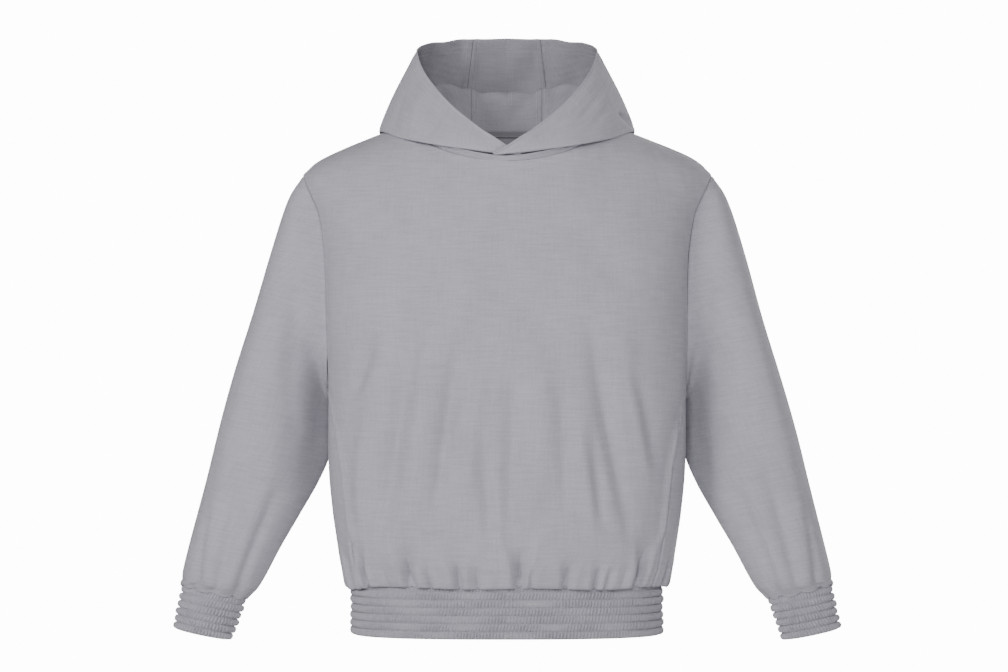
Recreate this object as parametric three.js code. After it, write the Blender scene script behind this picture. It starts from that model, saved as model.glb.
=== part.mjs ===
// A pullover hoodie in brushed fleece, filled out as if worn, with nothing inside it.
// Millimetres, +Z up, the front faces -Y. The origin is the middle of the neck opening,
// at the height where the cloth rests on the base of the neck.
// Every piece is a closed wall of cloth: a grid of points on its middle surface, moved out
// and in by half the thickness and joined along the edges.
import * as THREE from "three";

// Driving sizes
const CLOTH = 1.8; // thickness of the fleece
const SEAM_GAP = 0.3; // clear space between two sewn pieces
const BOXINESS = 2.6; // exponent of the rounded oblong that each body section is
const RIDGE_Y = 5; // the shoulder seams run a little behind the neck's middle
const CHEST_Z = -160; // the shoulders have rounded over into the chest here
const UNDERARM_Z = -335;
const SHOULDER_HALF_WIDTH = 274;
const NECK_HALF_WIDTH = 125;
const NECK_SIDE_Z = 26;
const NECK_FRONT_DROP = 57;
const NECK_BACK_DROP = 15;
const HEM_SEAM_Z = -590; // the body joins the hem band
const HEM_EDGE_Z = -661;

// Mesh densities: columns of a half panel, and rows down the armhole
const NECK_COLUMNS = 8;
const SHOULDER_COLUMNS = 7;
const ARMHOLE_ROWS = 10;
const HEM_COLUMNS = 80;
const CUFF_COLUMNS = 32;
const HALF_COLUMNS = NECK_COLUMNS + SHOULDER_COLUMNS;
const NECK_STEP = 90 / NECK_COLUMNS; // degrees round the neck

// The body below the shoulders: half width at the sides, depth to the front and to the back
const BODY_SECTIONS = [
  { z: -48, side: 274, front: 122, back: 100 },
  { z: -63, side: 267.5, front: 123, back: 101 },
  { z: -76, side: 261, front: 124, back: 102 },
  { z: -98, side: 251, front: 125, back: 103 },
  { z: -125, side: 245.5, front: 127, back: 104 },
  { z: -161, side: 241.5, front: 130, back: 106 },
  { z: -230, side: 240, front: 136, back: 109 },
  { z: -335, side: 239.5, front: 140, back: 111 },
  { z: -437, side: 239, front: 138, back: 111 },
  { z: -497, side: 233.5, front: 133, back: 110 },
  { z: -532, side: 228, front: 129, back: 109 },
  { z: -562, side: 221.4, front: 124, back: 107 },
  { z: -579, side: 217, front: 118, back: 104 },
  { z: -585, side: 213, front: 113, back: 101 },
  { z: -590, side: 206.3, front: 106, back: 97 },
];

// The shoulder seam seen from the front; inside the neck it runs on to an unseen top
const SHOULDER_LINE = [
  { x: 0, z: 76 },
  { x: 125, z: 26 },
  { x: 173, z: 6.7 },
  { x: 222, z: -13 },
  { x: 246, z: -24 },
  { x: 262, z: -35 },
  { x: 274, z: -48 },
];

// Half the angle that the front panel covers, counted from the front's middle. The side seam
// swings forward below the underarm, and the pocket opens in it.
const SIDE_SEAM = [
  { z: -48, half: 75 },
  { z: -230, half: 75 },
  { z: -290, half: 79 },
  { z: -335, half: 89 },
  { z: -343, half: 78 },
  { z: -356, half: 70 },
  { z: -378, half: 65 },
  { z: -408, half: 61.5 },
  { z: -445, half: 58.5 },
  { z: -590, half: 58 },
];

// Gathers above the hem band: angle round the body, depth of the valley, and its height
const FRONT_GATHERS = [
  { at: -50.5, depth: 5.0, reach: 55 },
  { at: -42.5, depth: 2.5, reach: 30 },
  { at: -34, depth: 6.5, reach: 95 },
  { at: -27, depth: 4.5, reach: 30 },
  { at: -16.5, depth: 4.5, reach: 45 },
  { at: -10, depth: 3.5, reach: 30 },
  { at: -3, depth: 3.0, reach: 30 },
  { at: 4.7, depth: 6.0, reach: 80 },
  { at: 11, depth: 2.5, reach: 25 },
  { at: 19, depth: 5.0, reach: 55 },
  { at: 26, depth: 3.0, reach: 30 },
  { at: 32, depth: 4.5, reach: 50 },
  { at: 38, depth: 3.0, reach: 30 },
  { at: 44, depth: 6.0, reach: 80 },
  { at: 51.5, depth: 5.0, reach: 45 },
];
const BACK_GATHERS = [
  { at: 72, depth: 4.5, reach: 45 },
  { at: 90, depth: 3.5, reach: 35 },
  { at: 108, depth: 5.5, reach: 60 },
  { at: 122, depth: 4.0, reach: 40 },
  { at: 135, depth: 6.0, reach: 85 },
  { at: 147, depth: 3.5, reach: 35 },
  { at: 160, depth: 5.5, reach: 60 },
  { at: 173, depth: 4.5, reach: 40 },
  { at: 186, depth: 6.0, reach: 90 },
  { at: 199, depth: 4.0, reach: 35 },
  { at: 212, depth: 5.5, reach: 65 },
  { at: 226, depth: 3.5, reach: 40 },
  { at: 240, depth: 5.0, reach: 55 },
  { at: 262, depth: 4.0, reach: 40 },
  { at: 285, depth: 4.5, reach: 45 },
];

// Long soft folds of the body: angle at the top and at the foot of each, its ends, half width
// in degrees, and how far it stands out (or sinks in, below zero)
const BODY_FOLDS = [
  { top: -25, foot: -50, from: -230, to: -480, width: 6, rise: -3.5 },
  { top: -16, foot: -32, from: -250, to: -585, width: 5, rise: -4 },
  { top: -6, foot: -13, from: -300, to: -580, width: 6, rise: 3 },
  { top: 9, foot: 5, from: -320, to: -585, width: 5, rise: -3 },
  { top: 18, foot: 30, from: -240, to: -580, width: 5, rise: -3.5 },
  { top: 27, foot: 46, from: -190, to: -580, width: 6, rise: -4.5 },
  { top: 38, foot: 54, from: -230, to: -520, width: 6, rise: 3 },
  { top: 164, foot: 146, from: -260, to: -585, width: 8, rise: -5 },
  { top: 180, foot: 173, from: -300, to: -585, width: 8, rise: -4 },
  { top: 196, foot: 206, from: -240, to: -585, width: 8, rise: -5 },
  { top: 218, foot: 236, from: -280, to: -580, width: 8, rise: 4 },
  { top: 140, foot: 120, from: -300, to: -580, width: 8, rise: 4 },
];

// The sleeve from just outside the armhole to the cuff seam: its outer and inner edge as seen
// from the front, half its depth, its middle's Y, and how much thinner its inner half is
const SLEEVE_SECTIONS = [
  { outerX: 295, outerZ: -81, innerX: 246.5, innerZ: -344, depth: 54, y: 9, pinch: 0.5 },
  { outerX: 319, outerZ: -153, innerX: 245, innerZ: -362, depth: 61, y: 12, pinch: 0.7 },
  { outerX: 344, outerZ: -240, innerX: 243.5, innerZ: -388, depth: 65, y: 14, pinch: 0.65 },
  { outerX: 367, outerZ: -316, innerX: 243, innerZ: -420, depth: 65, y: 13, pinch: 0.5 },
  { outerX: 388, outerZ: -390, innerX: 254, innerZ: -459, depth: 63, y: 9, pinch: 0.3 },
  { outerX: 406, outerZ: -462, innerX: 278, innerZ: -502, depth: 59, y: 4, pinch: 0.15 },
  { outerX: 421, outerZ: -522, innerX: 303, innerZ: -545, depth: 54, y: 0, pinch: 0.08 },
  { outerX: 432, outerZ: -568, innerX: 323, innerZ: -583, depth: 49, y: -4, pinch: 0 },
  { outerX: 435, outerZ: -586, innerX: 336, innerZ: -604, depth: 42, y: -6, pinch: 0 },
  { outerX: 432, outerZ: -594.4, innerX: 350, innerZ: -611.6, depth: 27, y: -7, pinch: 0 },
];
const SLEEVE_STEPS = [0, 0.5, 1, 1.8, 2.7, 3.6, 4.5, 5.4, 6.2, 7, 7.7, 8.3, 8.8, 9.3, 10];
const SLEEVE_CLEARANCE = 0.7; // the sleeve stands this far off the armhole line
const SLEEVE_GATHER_DEPTHS = [2.5, 4.5, 3, 5, 3.5, 3, 4.5, 2.5, 4, 3];

// Long soft folds of the sleeve: angle round it at both ends, first and last section, half
// width, and how far it stands out
const SLEEVE_FOLDS = [
  { top: 62, foot: 96, from: 0.6, to: 4.5, width: 16, rise: -4 },
  { top: 40, foot: 58, from: 3, to: 8.5, width: 14, rise: 3 },
  { top: 98, foot: 84, from: 4.5, to: 9.5, width: 14, rise: -3.5 },
  { top: 300, foot: 262, from: 0.6, to: 5, width: 18, rise: -5 },
  { top: 318, foot: 296, from: 4, to: 9, width: 16, rise: 3.5 },
  { top: 236, foot: 250, from: 5, to: 9.5, width: 14, rise: -3.5 },
];

// The cuff's tilted ends, in the same terms
const CUFF_ENDS = [
  { outerX: 432.1, outerZ: -594.9, innerX: 350.1, innerZ: -612.1, depth: 27, y: -7 },
  { outerX: 444, outerZ: -653.5, innerX: 371.5, innerZ: -669, depth: 25, y: -9 },
];

// The hood round the neck, from the front corner (below 0 degrees) to the middle of the back.
// From the neck seam its cloth rises over a crest, falls along a near wall to an outer fold,
// and comes up again, fullest at the bulge, to the brim. Crest and near wall are given from
// the straight line between seam and fold.
const HOOD_SECTIONS = [
  { at: -8, fold: [-16.7, -98.5, -25.5], brim: [-19, -99.5, -22.5], bulge: 0, crest: [0, 0, 0], near: [0, 0, 0] },
  { at: 0, fold: [0.9, -99.5, -23.5], brim: [0, -101.5, -12.6], bulge: 0, crest: [0, 0, 0], near: [0, 0, 0] },
  { at: 11.25, fold: [21.4, -101.5, -21.5], brim: [17.5, -99.5, -0.9], bulge: 1, crest: [0, 0, 0], near: [0, 0, 0] },
  { at: 22.5, fold: [45.8, -100.5, -18.2], brim: [36.2, -91, 11.5], bulge: 2, crest: [0, 0, 1], near: [0, 0, 1] },
  { at: 45, fold: [98, -86, -9.9], brim: [77, -58, 47], bulge: 4, crest: [0, 0, 3], near: [0, 0, 3] },
  { at: 67.5, fold: [142.4, -50, 0.5], brim: [108.6, -16, 87.7], bulge: 5, crest: [0, 0, 6], near: [0, 0, 5] },
  { at: 90, fold: [170.7, 4, 12.6], brim: [121.1, 22, 121], bulge: 3, crest: [0, 0, 5], near: [0, 0, 4] },
  { at: 101.25, fold: [170, 35, 6], brim: [117.2, 45, 130], bulge: 7, crest: [-5, -2, 24], near: [0, 0, 8] },
  { at: 112.5, fold: [162, 66, -18], brim: [106.5, 62, 135], bulge: 14, crest: [-9, -3, 50], near: [0, -2, 16] },
  { at: 135, fold: [118, 112, -90], brim: [80.6, 87, 141.2], bulge: 33, crest: [-2, -2, 94], near: [1, -4, 44] },
  { at: 157.5, fold: [50, 130, -146], brim: [46.1, 100, 144.6], bulge: 44, crest: [0, 0, 110], near: [0, -4, 60] },
  { at: 180, fold: [0, 134, -163], brim: [0, 104, 145.2], bulge: 48, crest: [0, -3, 114], near: [0, -7, 66] },
];
const HOOD_FRONT = -8; // degrees by which each front corner passes the middle
const HOOD_SEAM_COLUMN = 14; // the centre panel's seam meets the neck at this column
const HOOD_STEPS = [0, 0.4, 0.75, 1, 1.25, 1.65, 2.1, 2.5, 2.8, 3, 3.2, 3.5, 3.9, 4.3, 4.65, 5];
const WALL_POINT = 0.4; // the bulge, as a share of the way from fold to brim
const FLAP_LIFT = 4.2; // the wearer's left corner lies over the right one by this much
const FLAP_LIFT_END = 34; // degrees from the middle where the two sides lie alike again

// The shirred hem band and cuffs: rows of elastic between puckered channels, below a header
const HEM_CHANNELS = 6;
const HEM_HEADER = 8.5;
const CUFF_CHANNELS = 5;
const CUFF_HEADER = 11;
const BAND_INSIDE = 1.1; // from the band's middle surface to its plain inside
const BAND_GROOVE = 0.6; // to the outside at a row of elastic
const BAND_CREST = 2.3; // to the outside between two rows
const PUCKER = 0.9; // a pucker stands this much above the valley beside it

// The flat pocket bag hung inside the side seam: panel rows and columns that it lies on
const BAG_ROWS = [13, 20];
const BAG_COLUMNS = 7;
const BAG_CLOTH = 2.4; // two layers of pocketing
const BAG_CLEARANCE = 1.8; // room for the front's folds
const TAPE_CLOTH = 1.0;
const TAPE_HEIGHT = 9;

const FLEECE = 0xa9a8ad;
const HOOD_LINING = 0x9f9ea4;
const TAPE = 0xb4b3b8;

const radians = THREE.MathUtils.degToRad;
const point = (x, y, z) => new THREE.Vector3(x, y, z);
const mix = (a, b, share) => a + (b - a) * share;
const smooth = (from, to, x) => THREE.MathUtils.smoothstep(x, from, to);
const range = (count) => Array.from({ length: count }, (_, i) => i);

// The difference between two directions round a section, from -180 to 180
const turn = (angle, centre) => ((((angle - centre) % 360) + 540) % 360) - 180;

// A smooth step from start to end, with the slope of each end given for the whole step.
function hermite(start, end, startSlope, endSlope, t) {
  const bend = t * t * (3 - 2 * t);
  return start + (end - start) * bend + startSlope * t * (1 - t) ** 2 - endSlope * t * t * (1 - t);
}

// One column of a table, read on a smooth curve through its rows at a value of the key column.
function tableAt(rows, key, column, value) {
  const order = rows[rows.length - 1][key] > rows[0][key] ? rows : [...rows].reverse();
  const last = order.length - 1;
  if (value <= order[0][key]) return order[0][column];
  if (value >= order[last][key]) return order[last][column];
  const i = order.findIndex((row) => row[key] > value) - 1;
  const slope = (k) => {
    const before = order[Math.max(k - 1, 0)];
    const after = order[Math.min(k + 1, last)];
    return (after[column] - before[column]) / (after[key] - before[key]);
  };
  const span = order[i + 1][key] - order[i][key];
  const t = (value - order[i][key]) / span;
  return hermite(order[i][column], order[i + 1][column], slope(i) * span, slope(i + 1) * span, t);
}

// A smooth curve through points, at a place counted in points from the first.
function curveAt(points, place) {
  const last = points.length - 1;
  const i = Math.min(Math.floor(place), last - 1);
  const slope = (k, axis) => {
    const low = Math.max(k - 1, 0);
    const high = Math.min(k + 1, last);
    return (points[high][axis] - points[low][axis]) / (high - low);
  };
  const along = (axis) =>
    hermite(points[i][axis], points[i + 1][axis], slope(i, axis), slope(i + 1, axis), place - i);
  return point(along("x"), along("y"), along("z"));
}

const bodySize = (column, z) => tableAt(BODY_SECTIONS, "z", column, z);
const seamAngle = (z) => tableAt(SIDE_SEAM, "z", "half", z);
const shoulderZ = (x) => tableAt(SHOULDER_LINE, "x", "z", Math.abs(x));

// The rounded oblong of half width and half depth 1: 0 is the front's middle, 90 the +X side.
function oblong(angle) {
  const across = Math.sin(radians(angle));
  const ahead = Math.cos(radians(angle));
  const reach = (Math.abs(across) ** BOXINESS + Math.abs(ahead) ** BOXINESS) ** (-1 / BOXINESS);
  return { across: across * reach, ahead: ahead * reach };
}

// How far a row of long folds lifts the cloth at an angle and a place along the piece.
function foldRelief(folds, angle, place) {
  let out = 0;
  for (const fold of folds) {
    const along = (place - fold.from) / (fold.to - fold.from);
    if (along <= 0 || along >= 1) continue;
    const across = turn(angle, mix(fold.top, fold.foot, along)) / fold.width;
    out += fold.rise * Math.exp(-across * across) * Math.sin(Math.PI * along) ** 0.7;
  }
  return out;
}

// How far gathers draw the cloth in above the hem band.
function gatherRelief(gathers, width, angle, height) {
  let out = 0;
  for (const gather of gathers) {
    const across = turn(angle, gather.at) / (width + height / 40);
    const close = smooth(0, 7, height) * (1 - smooth(0.25, 1, height / gather.reach));
    out -= gather.depth * Math.exp(-across * across) * close;
  }
  return out;
}

function bodyRelief(angle, z) {
  const height = z - HEM_SEAM_Z;
  return (
    foldRelief(BODY_FOLDS, angle, z) +
    gatherRelief(FRONT_GATHERS, 2.4, angle, height) +
    gatherRelief(BACK_GATHERS, 4.5, angle, height)
  );
}

// A panel's top edge: the neck for its middle columns, the shoulder seam beyond them.
function panelTop(column, facing) {
  const reach = Math.abs(column);
  if (reach <= NECK_COLUMNS) {
    const round = radians(column * NECK_STEP);
    const drop = facing < 0 ? NECK_FRONT_DROP : NECK_BACK_DROP;
    return { x: NECK_HALF_WIDTH * Math.sin(round), z: NECK_SIDE_Z - drop * Math.cos(round) };
  }
  const share = (reach - NECK_COLUMNS) / SHOULDER_COLUMNS;
  const x = Math.sign(column) * mix(NECK_HALF_WIDTH, SHOULDER_HALF_WIDTH, share);
  return { x, z: shoulderZ(x) };
}

// A panel above the underarms. column runs from -15 to 15 between the armholes, down from 0 at
// the top edge to 1 at the underarm; facing is -1 for the front panel and 1 for the back.
function yokePoint(column, down, facing) {
  const sunk = (1 - Math.cos(Math.PI * down)) / 2;
  const top = panelTop(column, facing);
  const z = mix(top.z, UNDERARM_Z, sunk);
  const edgeZ = mix(shoulderZ(SHOULDER_HALF_WIDTH), UNDERARM_Z, sunk);
  const half = seamAngle(edgeZ);
  const across = column / HALF_COLUMNS;
  const section = oblong(across * half);
  const lowShare = section.across / oblong(half).across;
  const share = mix(top.x / SHOULDER_HALF_WIDTH, lowShare, smooth(0, 0.8, down));
  const x = share * bodySize("side", edgeZ);
  const ridge = shoulderZ(x);
  const fall = Math.min(Math.max((ridge - z) / (ridge - CHEST_Z), 0), 1);
  const rounded = Math.sqrt(1 - (1 - fall) ** 2);
  const depth = bodySize(facing < 0 ? "front" : "back", z) * section.ahead;
  const angle = facing < 0 ? across * half : 180 - across * half;
  const relief = bodyRelief(angle, z) * smooth(0, 0.3, down);
  return point(x, RIDGE_Y + facing * (depth * rounded + relief), z);
}

// The body at any angle below the underarms.
function skirtPoint(angle, z) {
  const section = oblong(angle);
  const side = bodySize("side", z);
  const depth = bodySize(section.ahead > 0 ? "front" : "back", z);
  const out = point(section.across / side, -section.ahead / depth, 0).normalize();
  const p = point(side * section.across, RIDGE_Y - depth * section.ahead, z);
  return p.addScaledVector(out, bodyRelief(angle, z));
}

// The angle of a panel's column at a height below the underarms: even at the top, and towards
// the hem with a column on each gather's valley and one on each crest between two valleys.
function skirtAngle(column, z, facing) {
  const half = seamAngle(z);
  const even = column / HALF_COLUMNS;
  const evenAngle = facing < 0 ? even * half : 180 - even * (180 - half);
  if (Math.abs(column) === HALF_COLUMNS) return evenAngle;
  const gathers = facing < 0 ? FRONT_GATHERS : [...BACK_GATHERS].reverse();
  const index = column + HALF_COLUMNS;
  const low = gathers[Math.floor((index - 1) / 2)].at;
  const high = gathers[Math.floor(index / 2)].at;
  return mix(evenAngle, (low + high) / 2, smooth(450, 555, -z));
}

const SKIRT_HEIGHTS = [-343, -356, -378, -408, -445, -482, -516, -544, -565, -577, -584, HEM_SEAM_Z];
const PANEL_ROWS = ARMHOLE_ROWS + SKIRT_HEIGHTS.length;

function panelPoint(row, column, facing) {
  if (row <= ARMHOLE_ROWS) return yokePoint(column, row / ARMHOLE_ROWS, facing);
  const z = SKIRT_HEIGHTS[row - ARMHOLE_ROWS - 1];
  return skirtPoint(skirtAngle(column, z, facing), z);
}

// A sheet: rows of points on the cloth's middle surface, with the direction across the cloth
// at each. A closed sheet goes round, so its last column joins its first.
function makeSheet(rows, columns, closed, at) {
  const points = range(rows).map((i) => range(columns).map((j) => at(i, j)));
  const wrapped = (j) => (closed ? (j + columns) % columns : Math.min(Math.max(j, 0), columns - 1));
  const normals = points.map((line, i) =>
    line.map((_, j) => {
      const down = points[Math.min(i + 1, rows - 1)][j].clone().sub(points[Math.max(i - 1, 0)][j]);
      const along = line[wrapped(j + 1)].clone().sub(line[wrapped(j - 1)]);
      return down.cross(along).normalize();
    }),
  );
  return { points, normals, closed };
}

// Turns every normal of a sheet round where they point to the wrong side.
function faceAway(sheet, inside) {
  const i = Math.floor(sheet.points.length / 2);
  const j = Math.floor(sheet.points[0].length / 2);
  const away = sheet.points[i][j].clone().sub(inside).dot(sheet.normals[i][j]);
  if (away < 0) for (const line of sheet.normals) for (const n of line) n.negate();
  return sheet;
}

// A closed wall between an outer and an inner grid, which may have different numbers of rows.
function wallGeometry(outer, inner, closed) {
  const columns = outer[0].length;
  const spans = closed ? columns : columns - 1;
  const positions = [];
  const faces = [];
  const put = (grid) => {
    const start = positions.length / 3;
    for (const line of grid) for (const p of line) positions.push(p.x, p.y, p.z);
    return (i, j) => start + i * columns + (j % columns);
  };
  const quad = (a, b, c, d) => faces.push(a, b, c, a, c, d);
  const out = put(outer);
  const back = put(inner);
  const lastOut = outer.length - 1;
  const lastBack = inner.length - 1;
  for (const j of range(spans)) {
    for (const i of range(lastOut)) quad(out(i, j), out(i + 1, j), out(i + 1, j + 1), out(i, j + 1));
    for (const i of range(lastBack)) quad(back(i, j), back(i, j + 1), back(i + 1, j + 1), back(i + 1, j));
    quad(out(0, j), out(0, j + 1), back(0, j + 1), back(0, j));
    quad(out(lastOut, j + 1), out(lastOut, j), back(lastBack, j), back(lastBack, j + 1));
  }
  if (!closed)
    for (const i of range(lastOut)) {
      quad(out(i + 1, 0), out(i, 0), back(i, 0), back(i + 1, 0));
      quad(out(i, spans), out(i + 1, spans), back(i + 1, spans), back(i, spans));
    }
  const geometry = new THREE.BufferGeometry();
  geometry.setAttribute("position", new THREE.Float32BufferAttribute(positions, 3));
  geometry.setIndex(facingOut(positions, faces));
  geometry.computeVertexNormals();
  return geometry;
}

// The same faces, turned round if they enclose a volume below zero.
function facingOut(positions, faces) {
  const corner = (k) => new THREE.Vector3().fromArray(positions, 3 * faces[k]);
  let volume = 0;
  for (let k = 0; k < faces.length; k += 3) volume += corner(k).dot(corner(k + 1).cross(corner(k + 2)));
  return volume > 0 ? faces : [...faces].reverse();
}

const moved = (sheet, distance) =>
  sheet.points.map((line, i) => line.map((p, j) => p.clone().addScaledVector(sheet.normals[i][j], distance)));
const sheetGeometry = (sheet, thickness) =>
  wallGeometry(moved(sheet, thickness / 2), moved(sheet, -thickness / 2), sheet.closed);

// Gives the points that meet at each place along a seam one direction across the cloth.
function shareNormals(meetings) {
  const shared = meetings.map((spots) => {
    const sum = point(0, 0, 0);
    for (const [sheet, i, j] of spots) sum.add(sheet.normals[i][j]);
    return sum.normalize();
  });
  meetings.forEach((spots, k) => {
    for (const [sheet, i, j] of spots) sheet.normals[i][j].copy(shared[k]);
  });
}

// Draws an edge of a sheet in towards the line of points beside it, to leave a seam's gap.
function pullIn(spots, distance) {
  for (const [sheet, i, j, nextI, nextJ] of spots) {
    const inwards = sheet.points[nextI][nextJ].clone().sub(sheet.points[i][j]);
    sheet.points[i][j].add(inwards.setLength(distance));
  }
}

function cloth(name, geometry, colour) {
  const material = new THREE.MeshStandardMaterial({ color: colour, roughness: 0.92, metalness: 0 });
  const mesh = new THREE.Mesh(geometry, material);
  mesh.name = name;
  return mesh;
}

// The armhole: share runs from 0 at the shoulder down the front to 0.5 at the underarm and up
// the back.
function armholePoint(share, side) {
  const column = side * HALF_COLUMNS;
  return share <= 0.5 ? yokePoint(column, share * 2, -1) : yokePoint(column, (1 - share) * 2, 1);
}

function sleeveRing(section, share, side) {
  const angle = share * 2 * Math.PI;
  const outwards = Math.cos(angle) / 2;
  const thin = 1 - (section.pinch || 0) * (0.5 - outwards);
  return point(
    side * ((section.outerX + section.innerX) / 2 + (section.outerX - section.innerX) * outwards),
    section.y - section.depth * Math.sin(angle) * thin,
    (section.outerZ + section.innerZ) / 2 + (section.outerZ - section.innerZ) * outwards,
  );
}

// The sleeve at a share of its round and a place counted in sections from the armhole.
function sleevePoint(share, place, side) {
  const opposite = share + (share < 0.5 ? 0.5 : -0.5);
  const ringsAt = (around) => [
    armholePoint(around, side),
    ...SLEEVE_SECTIONS.map((section) => sleeveRing(section, around, side)),
  ];
  const p = curveAt(ringsAt(share), place);
  const out = p.clone().sub(curveAt(ringsAt(opposite), place)).normalize();
  const angle = share * 360;
  const close = smooth(7.6, 9.1, place) * (1 - smooth(9.5, 10, place));
  let relief = foldRelief(SLEEVE_FOLDS, angle, place);
  SLEEVE_GATHER_DEPTHS.forEach((depth, k) => {
    const gather = turn(angle, ((k + 0.5) * 360) / SLEEVE_GATHER_DEPTHS.length) / 10;
    relief -= depth * Math.exp(-gather * gather) * close;
  });
  return p.addScaledVector(out, relief);
}

// The two body panels and the two sleeves, sewn together.
function bodySheets() {
  const across = 2 * HALF_COLUMNS;
  const panels = [-1, 1].map((facing) => {
    const at = (i, j) => panelPoint(i, j - HALF_COLUMNS, facing);
    return faceAway(makeSheet(PANEL_ROWS + 1, across + 1, false, at), point(0, 0, -300));
  });
  const around = 2 * ARMHOLE_ROWS;
  const sleeves = [1, -1].map((side) => {
    const at = (i, j) => sleevePoint(j / around, SLEEVE_STEPS[i], side);
    return faceAway(makeSheet(SLEEVE_STEPS.length, around, true, at), point(side * 320, 5, -350));
  });
  sewBody(panels, sleeves);
  levelEnds(panels, sleeves);
  return { panels, sleeves };
}

// Shoulder, armhole and side seams.
function sewBody([front, back], sleeves) {
  const across = 2 * HALF_COLUMNS;
  const meetings = [];
  const edges = [];
  for (const j of range(across + 1)) {
    if (Math.abs(j - HALF_COLUMNS) < NECK_COLUMNS) continue;
    if (j > 0 && j < across) meetings.push([[front, 0, j], [back, 0, j]]);
    edges.push([front, 0, j, 1, j], [back, 0, j, 1, j]);
  }
  sleeves.forEach((sleeve, k) => {
    const edge = k === 0 ? across : 0;
    const beside = k === 0 ? across - 1 : 1;
    for (const i of range(PANEL_ROWS + 1)) {
      const spots = [[front, i, edge], [back, i, edge]];
      if (i === 0 || i === ARMHOLE_ROWS) meetings.push([...spots, [sleeve, 0, i]]);
      else if (i > ARMHOLE_ROWS) meetings.push(spots);
      else {
        meetings.push([spots[0], [sleeve, 0, i]]);
        meetings.push([spots[1], [sleeve, 0, 2 * ARMHOLE_ROWS - i]]);
      }
      edges.push([front, i, edge, i, beside], [back, i, edge, i, beside]);
    }
  });
  shareNormals(meetings);
  pullIn(edges, SEAM_GAP);
  for (const sleeve of sleeves)
    pullIn(range(2 * ARMHOLE_ROWS).map((j) => [sleeve, 0, j, 1, j]), SLEEVE_CLEARANCE);
}

// Squares off the hem end of each panel and the cuff end of each sleeve, clear of the band.
function levelEnds(panels, sleeves) {
  for (const sheet of panels) {
    sheet.points[PANEL_ROWS].forEach((p) => p.setZ(HEM_SEAM_Z + SEAM_GAP / 2));
    sheet.normals[PANEL_ROWS].forEach((n) => n.setZ(0).normalize());
  }
  sleeves.forEach((sheet, k) => {
    const down = cuffAxis(k === 0 ? 1 : -1);
    const end = sheet.normals[SLEEVE_STEPS.length - 1];
    for (const n of end) n.addScaledVector(down, -n.dot(down)).normalize();
  });
}

// The direction that the flat end of the sleeve faces.
function cuffAxis(side) {
  const { outerX, innerX, outerZ, innerZ } = SLEEVE_SECTIONS[SLEEVE_SECTIONS.length - 1];
  return point(side * (outerZ - innerZ), 0, innerX - outerX).normalize();
}

// The neck seam at an angle round the neck: 0 in front, 90 at the +X shoulder, 180 behind.
function neckPoint(angle) {
  const facing = angle <= 90 ? -1 : 1;
  const round = facing < 0 ? angle : 180 - angle;
  return yokePoint(round / NECK_STEP, 0, facing);
}

function hoodRow(column, axis, angle) {
  const rows = HOOD_SECTIONS.map((row) => ({ at: row.at, value: row[column][axis] }));
  return tableAt(rows, "at", "value", angle);
}

// One half of the hood: place runs from 0 at the neck seam to 5 at the brim.
function hoodPoint(angle, place, side) {
  const fetch = (column) => point(...[0, 1, 2].map((axis) => hoodRow(column, axis, angle)));
  const sideways = Math.sin(radians(angle)) ** 2;
  const seam = neckPoint(angle);
  seam.z += CLOTH / 2 + SEAM_GAP + 1.6 * sideways * smooth(0, 40, angle);
  const fold = fetch("fold");
  const brim = fetch("brim");
  const crest = seam.clone().lerp(fold, 1 / 3).add(fetch("crest"));
  const near = seam.clone().lerp(fold, 2 / 3).add(fetch("near"));
  const wall = fold.clone().lerp(brim, WALL_POINT);
  const bulge = tableAt(HOOD_SECTIONS, "at", "bulge", angle);
  wall.addScaledVector(point(Math.sin(radians(angle)), -Math.cos(radians(angle)), 0), bulge);
  const p = curveAt([seam, crest, near, fold, wall, brim], place);
  if (side > 0) p.y -= FLAP_LIFT * (1 - smooth(HOOD_FRONT, FLAP_LIFT_END, angle));
  p.x *= side;
  return p;
}

// The hood as two side panels and one centre panel between them.
function hoodSheets() {
  const sideAngles = [HOOD_FRONT, ...range(HOOD_SEAM_COLUMN + 1).map((k) => k * NECK_STEP)];
  const last = sideAngles.length - 1;
  const rows = HOOD_STEPS.length;
  const sides = [1, -1].map((side) => {
    const at = (i, j) => hoodPoint(sideAngles[j], HOOD_STEPS[i], side);
    return makeSheet(rows, sideAngles.length, false, at);
  });
  const columns = 2 * (2 * NECK_COLUMNS - HOOD_SEAM_COLUMN);
  const centreAt = (i, j) => {
    const angle = (HOOD_SEAM_COLUMN + j) * NECK_STEP;
    return angle <= 180 ? hoodPoint(angle, HOOD_STEPS[i], 1) : hoodPoint(360 - angle, HOOD_STEPS[i], -1);
  };
  const centre = makeSheet(rows, columns + 1, false, centreAt);
  // The wearer's right side runs the other way round, so its normals point the other way.
  for (const line of sides[1].normals) for (const n of line) n.negate();
  const meetings = range(rows).flatMap((i) => [
    [[sides[0], i, last], [centre, i, 0]],
    [[sides[1], i, last], [centre, i, columns]],
  ]);
  shareNormals(meetings);
  const edges = range(rows).flatMap((i) => [
    [sides[0], i, last, i, last - 1],
    [sides[1], i, last, i, last - 1],
    [centre, i, 0, i, 1],
    [centre, i, columns, i, columns - 1],
  ]);
  pullIn(edges, SEAM_GAP);
  return { sides, centre };
}

// A band's cross-rows: its share of the way down and how far its outside stands out.
function bandRows(length, header, channels) {
  const rows = [{ down: 0, out: BAND_GROOVE }, { down: header / length, out: BAND_GROOVE }];
  const pitch = (length - header) / channels;
  for (const k of range(channels)) {
    rows.push({ down: (header + (k + 0.5) * pitch) / length, out: BAND_CREST });
    rows.push({ down: (header + (k + 1) * pitch) / length, out: BAND_GROOVE });
  }
  return rows;
}

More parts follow.
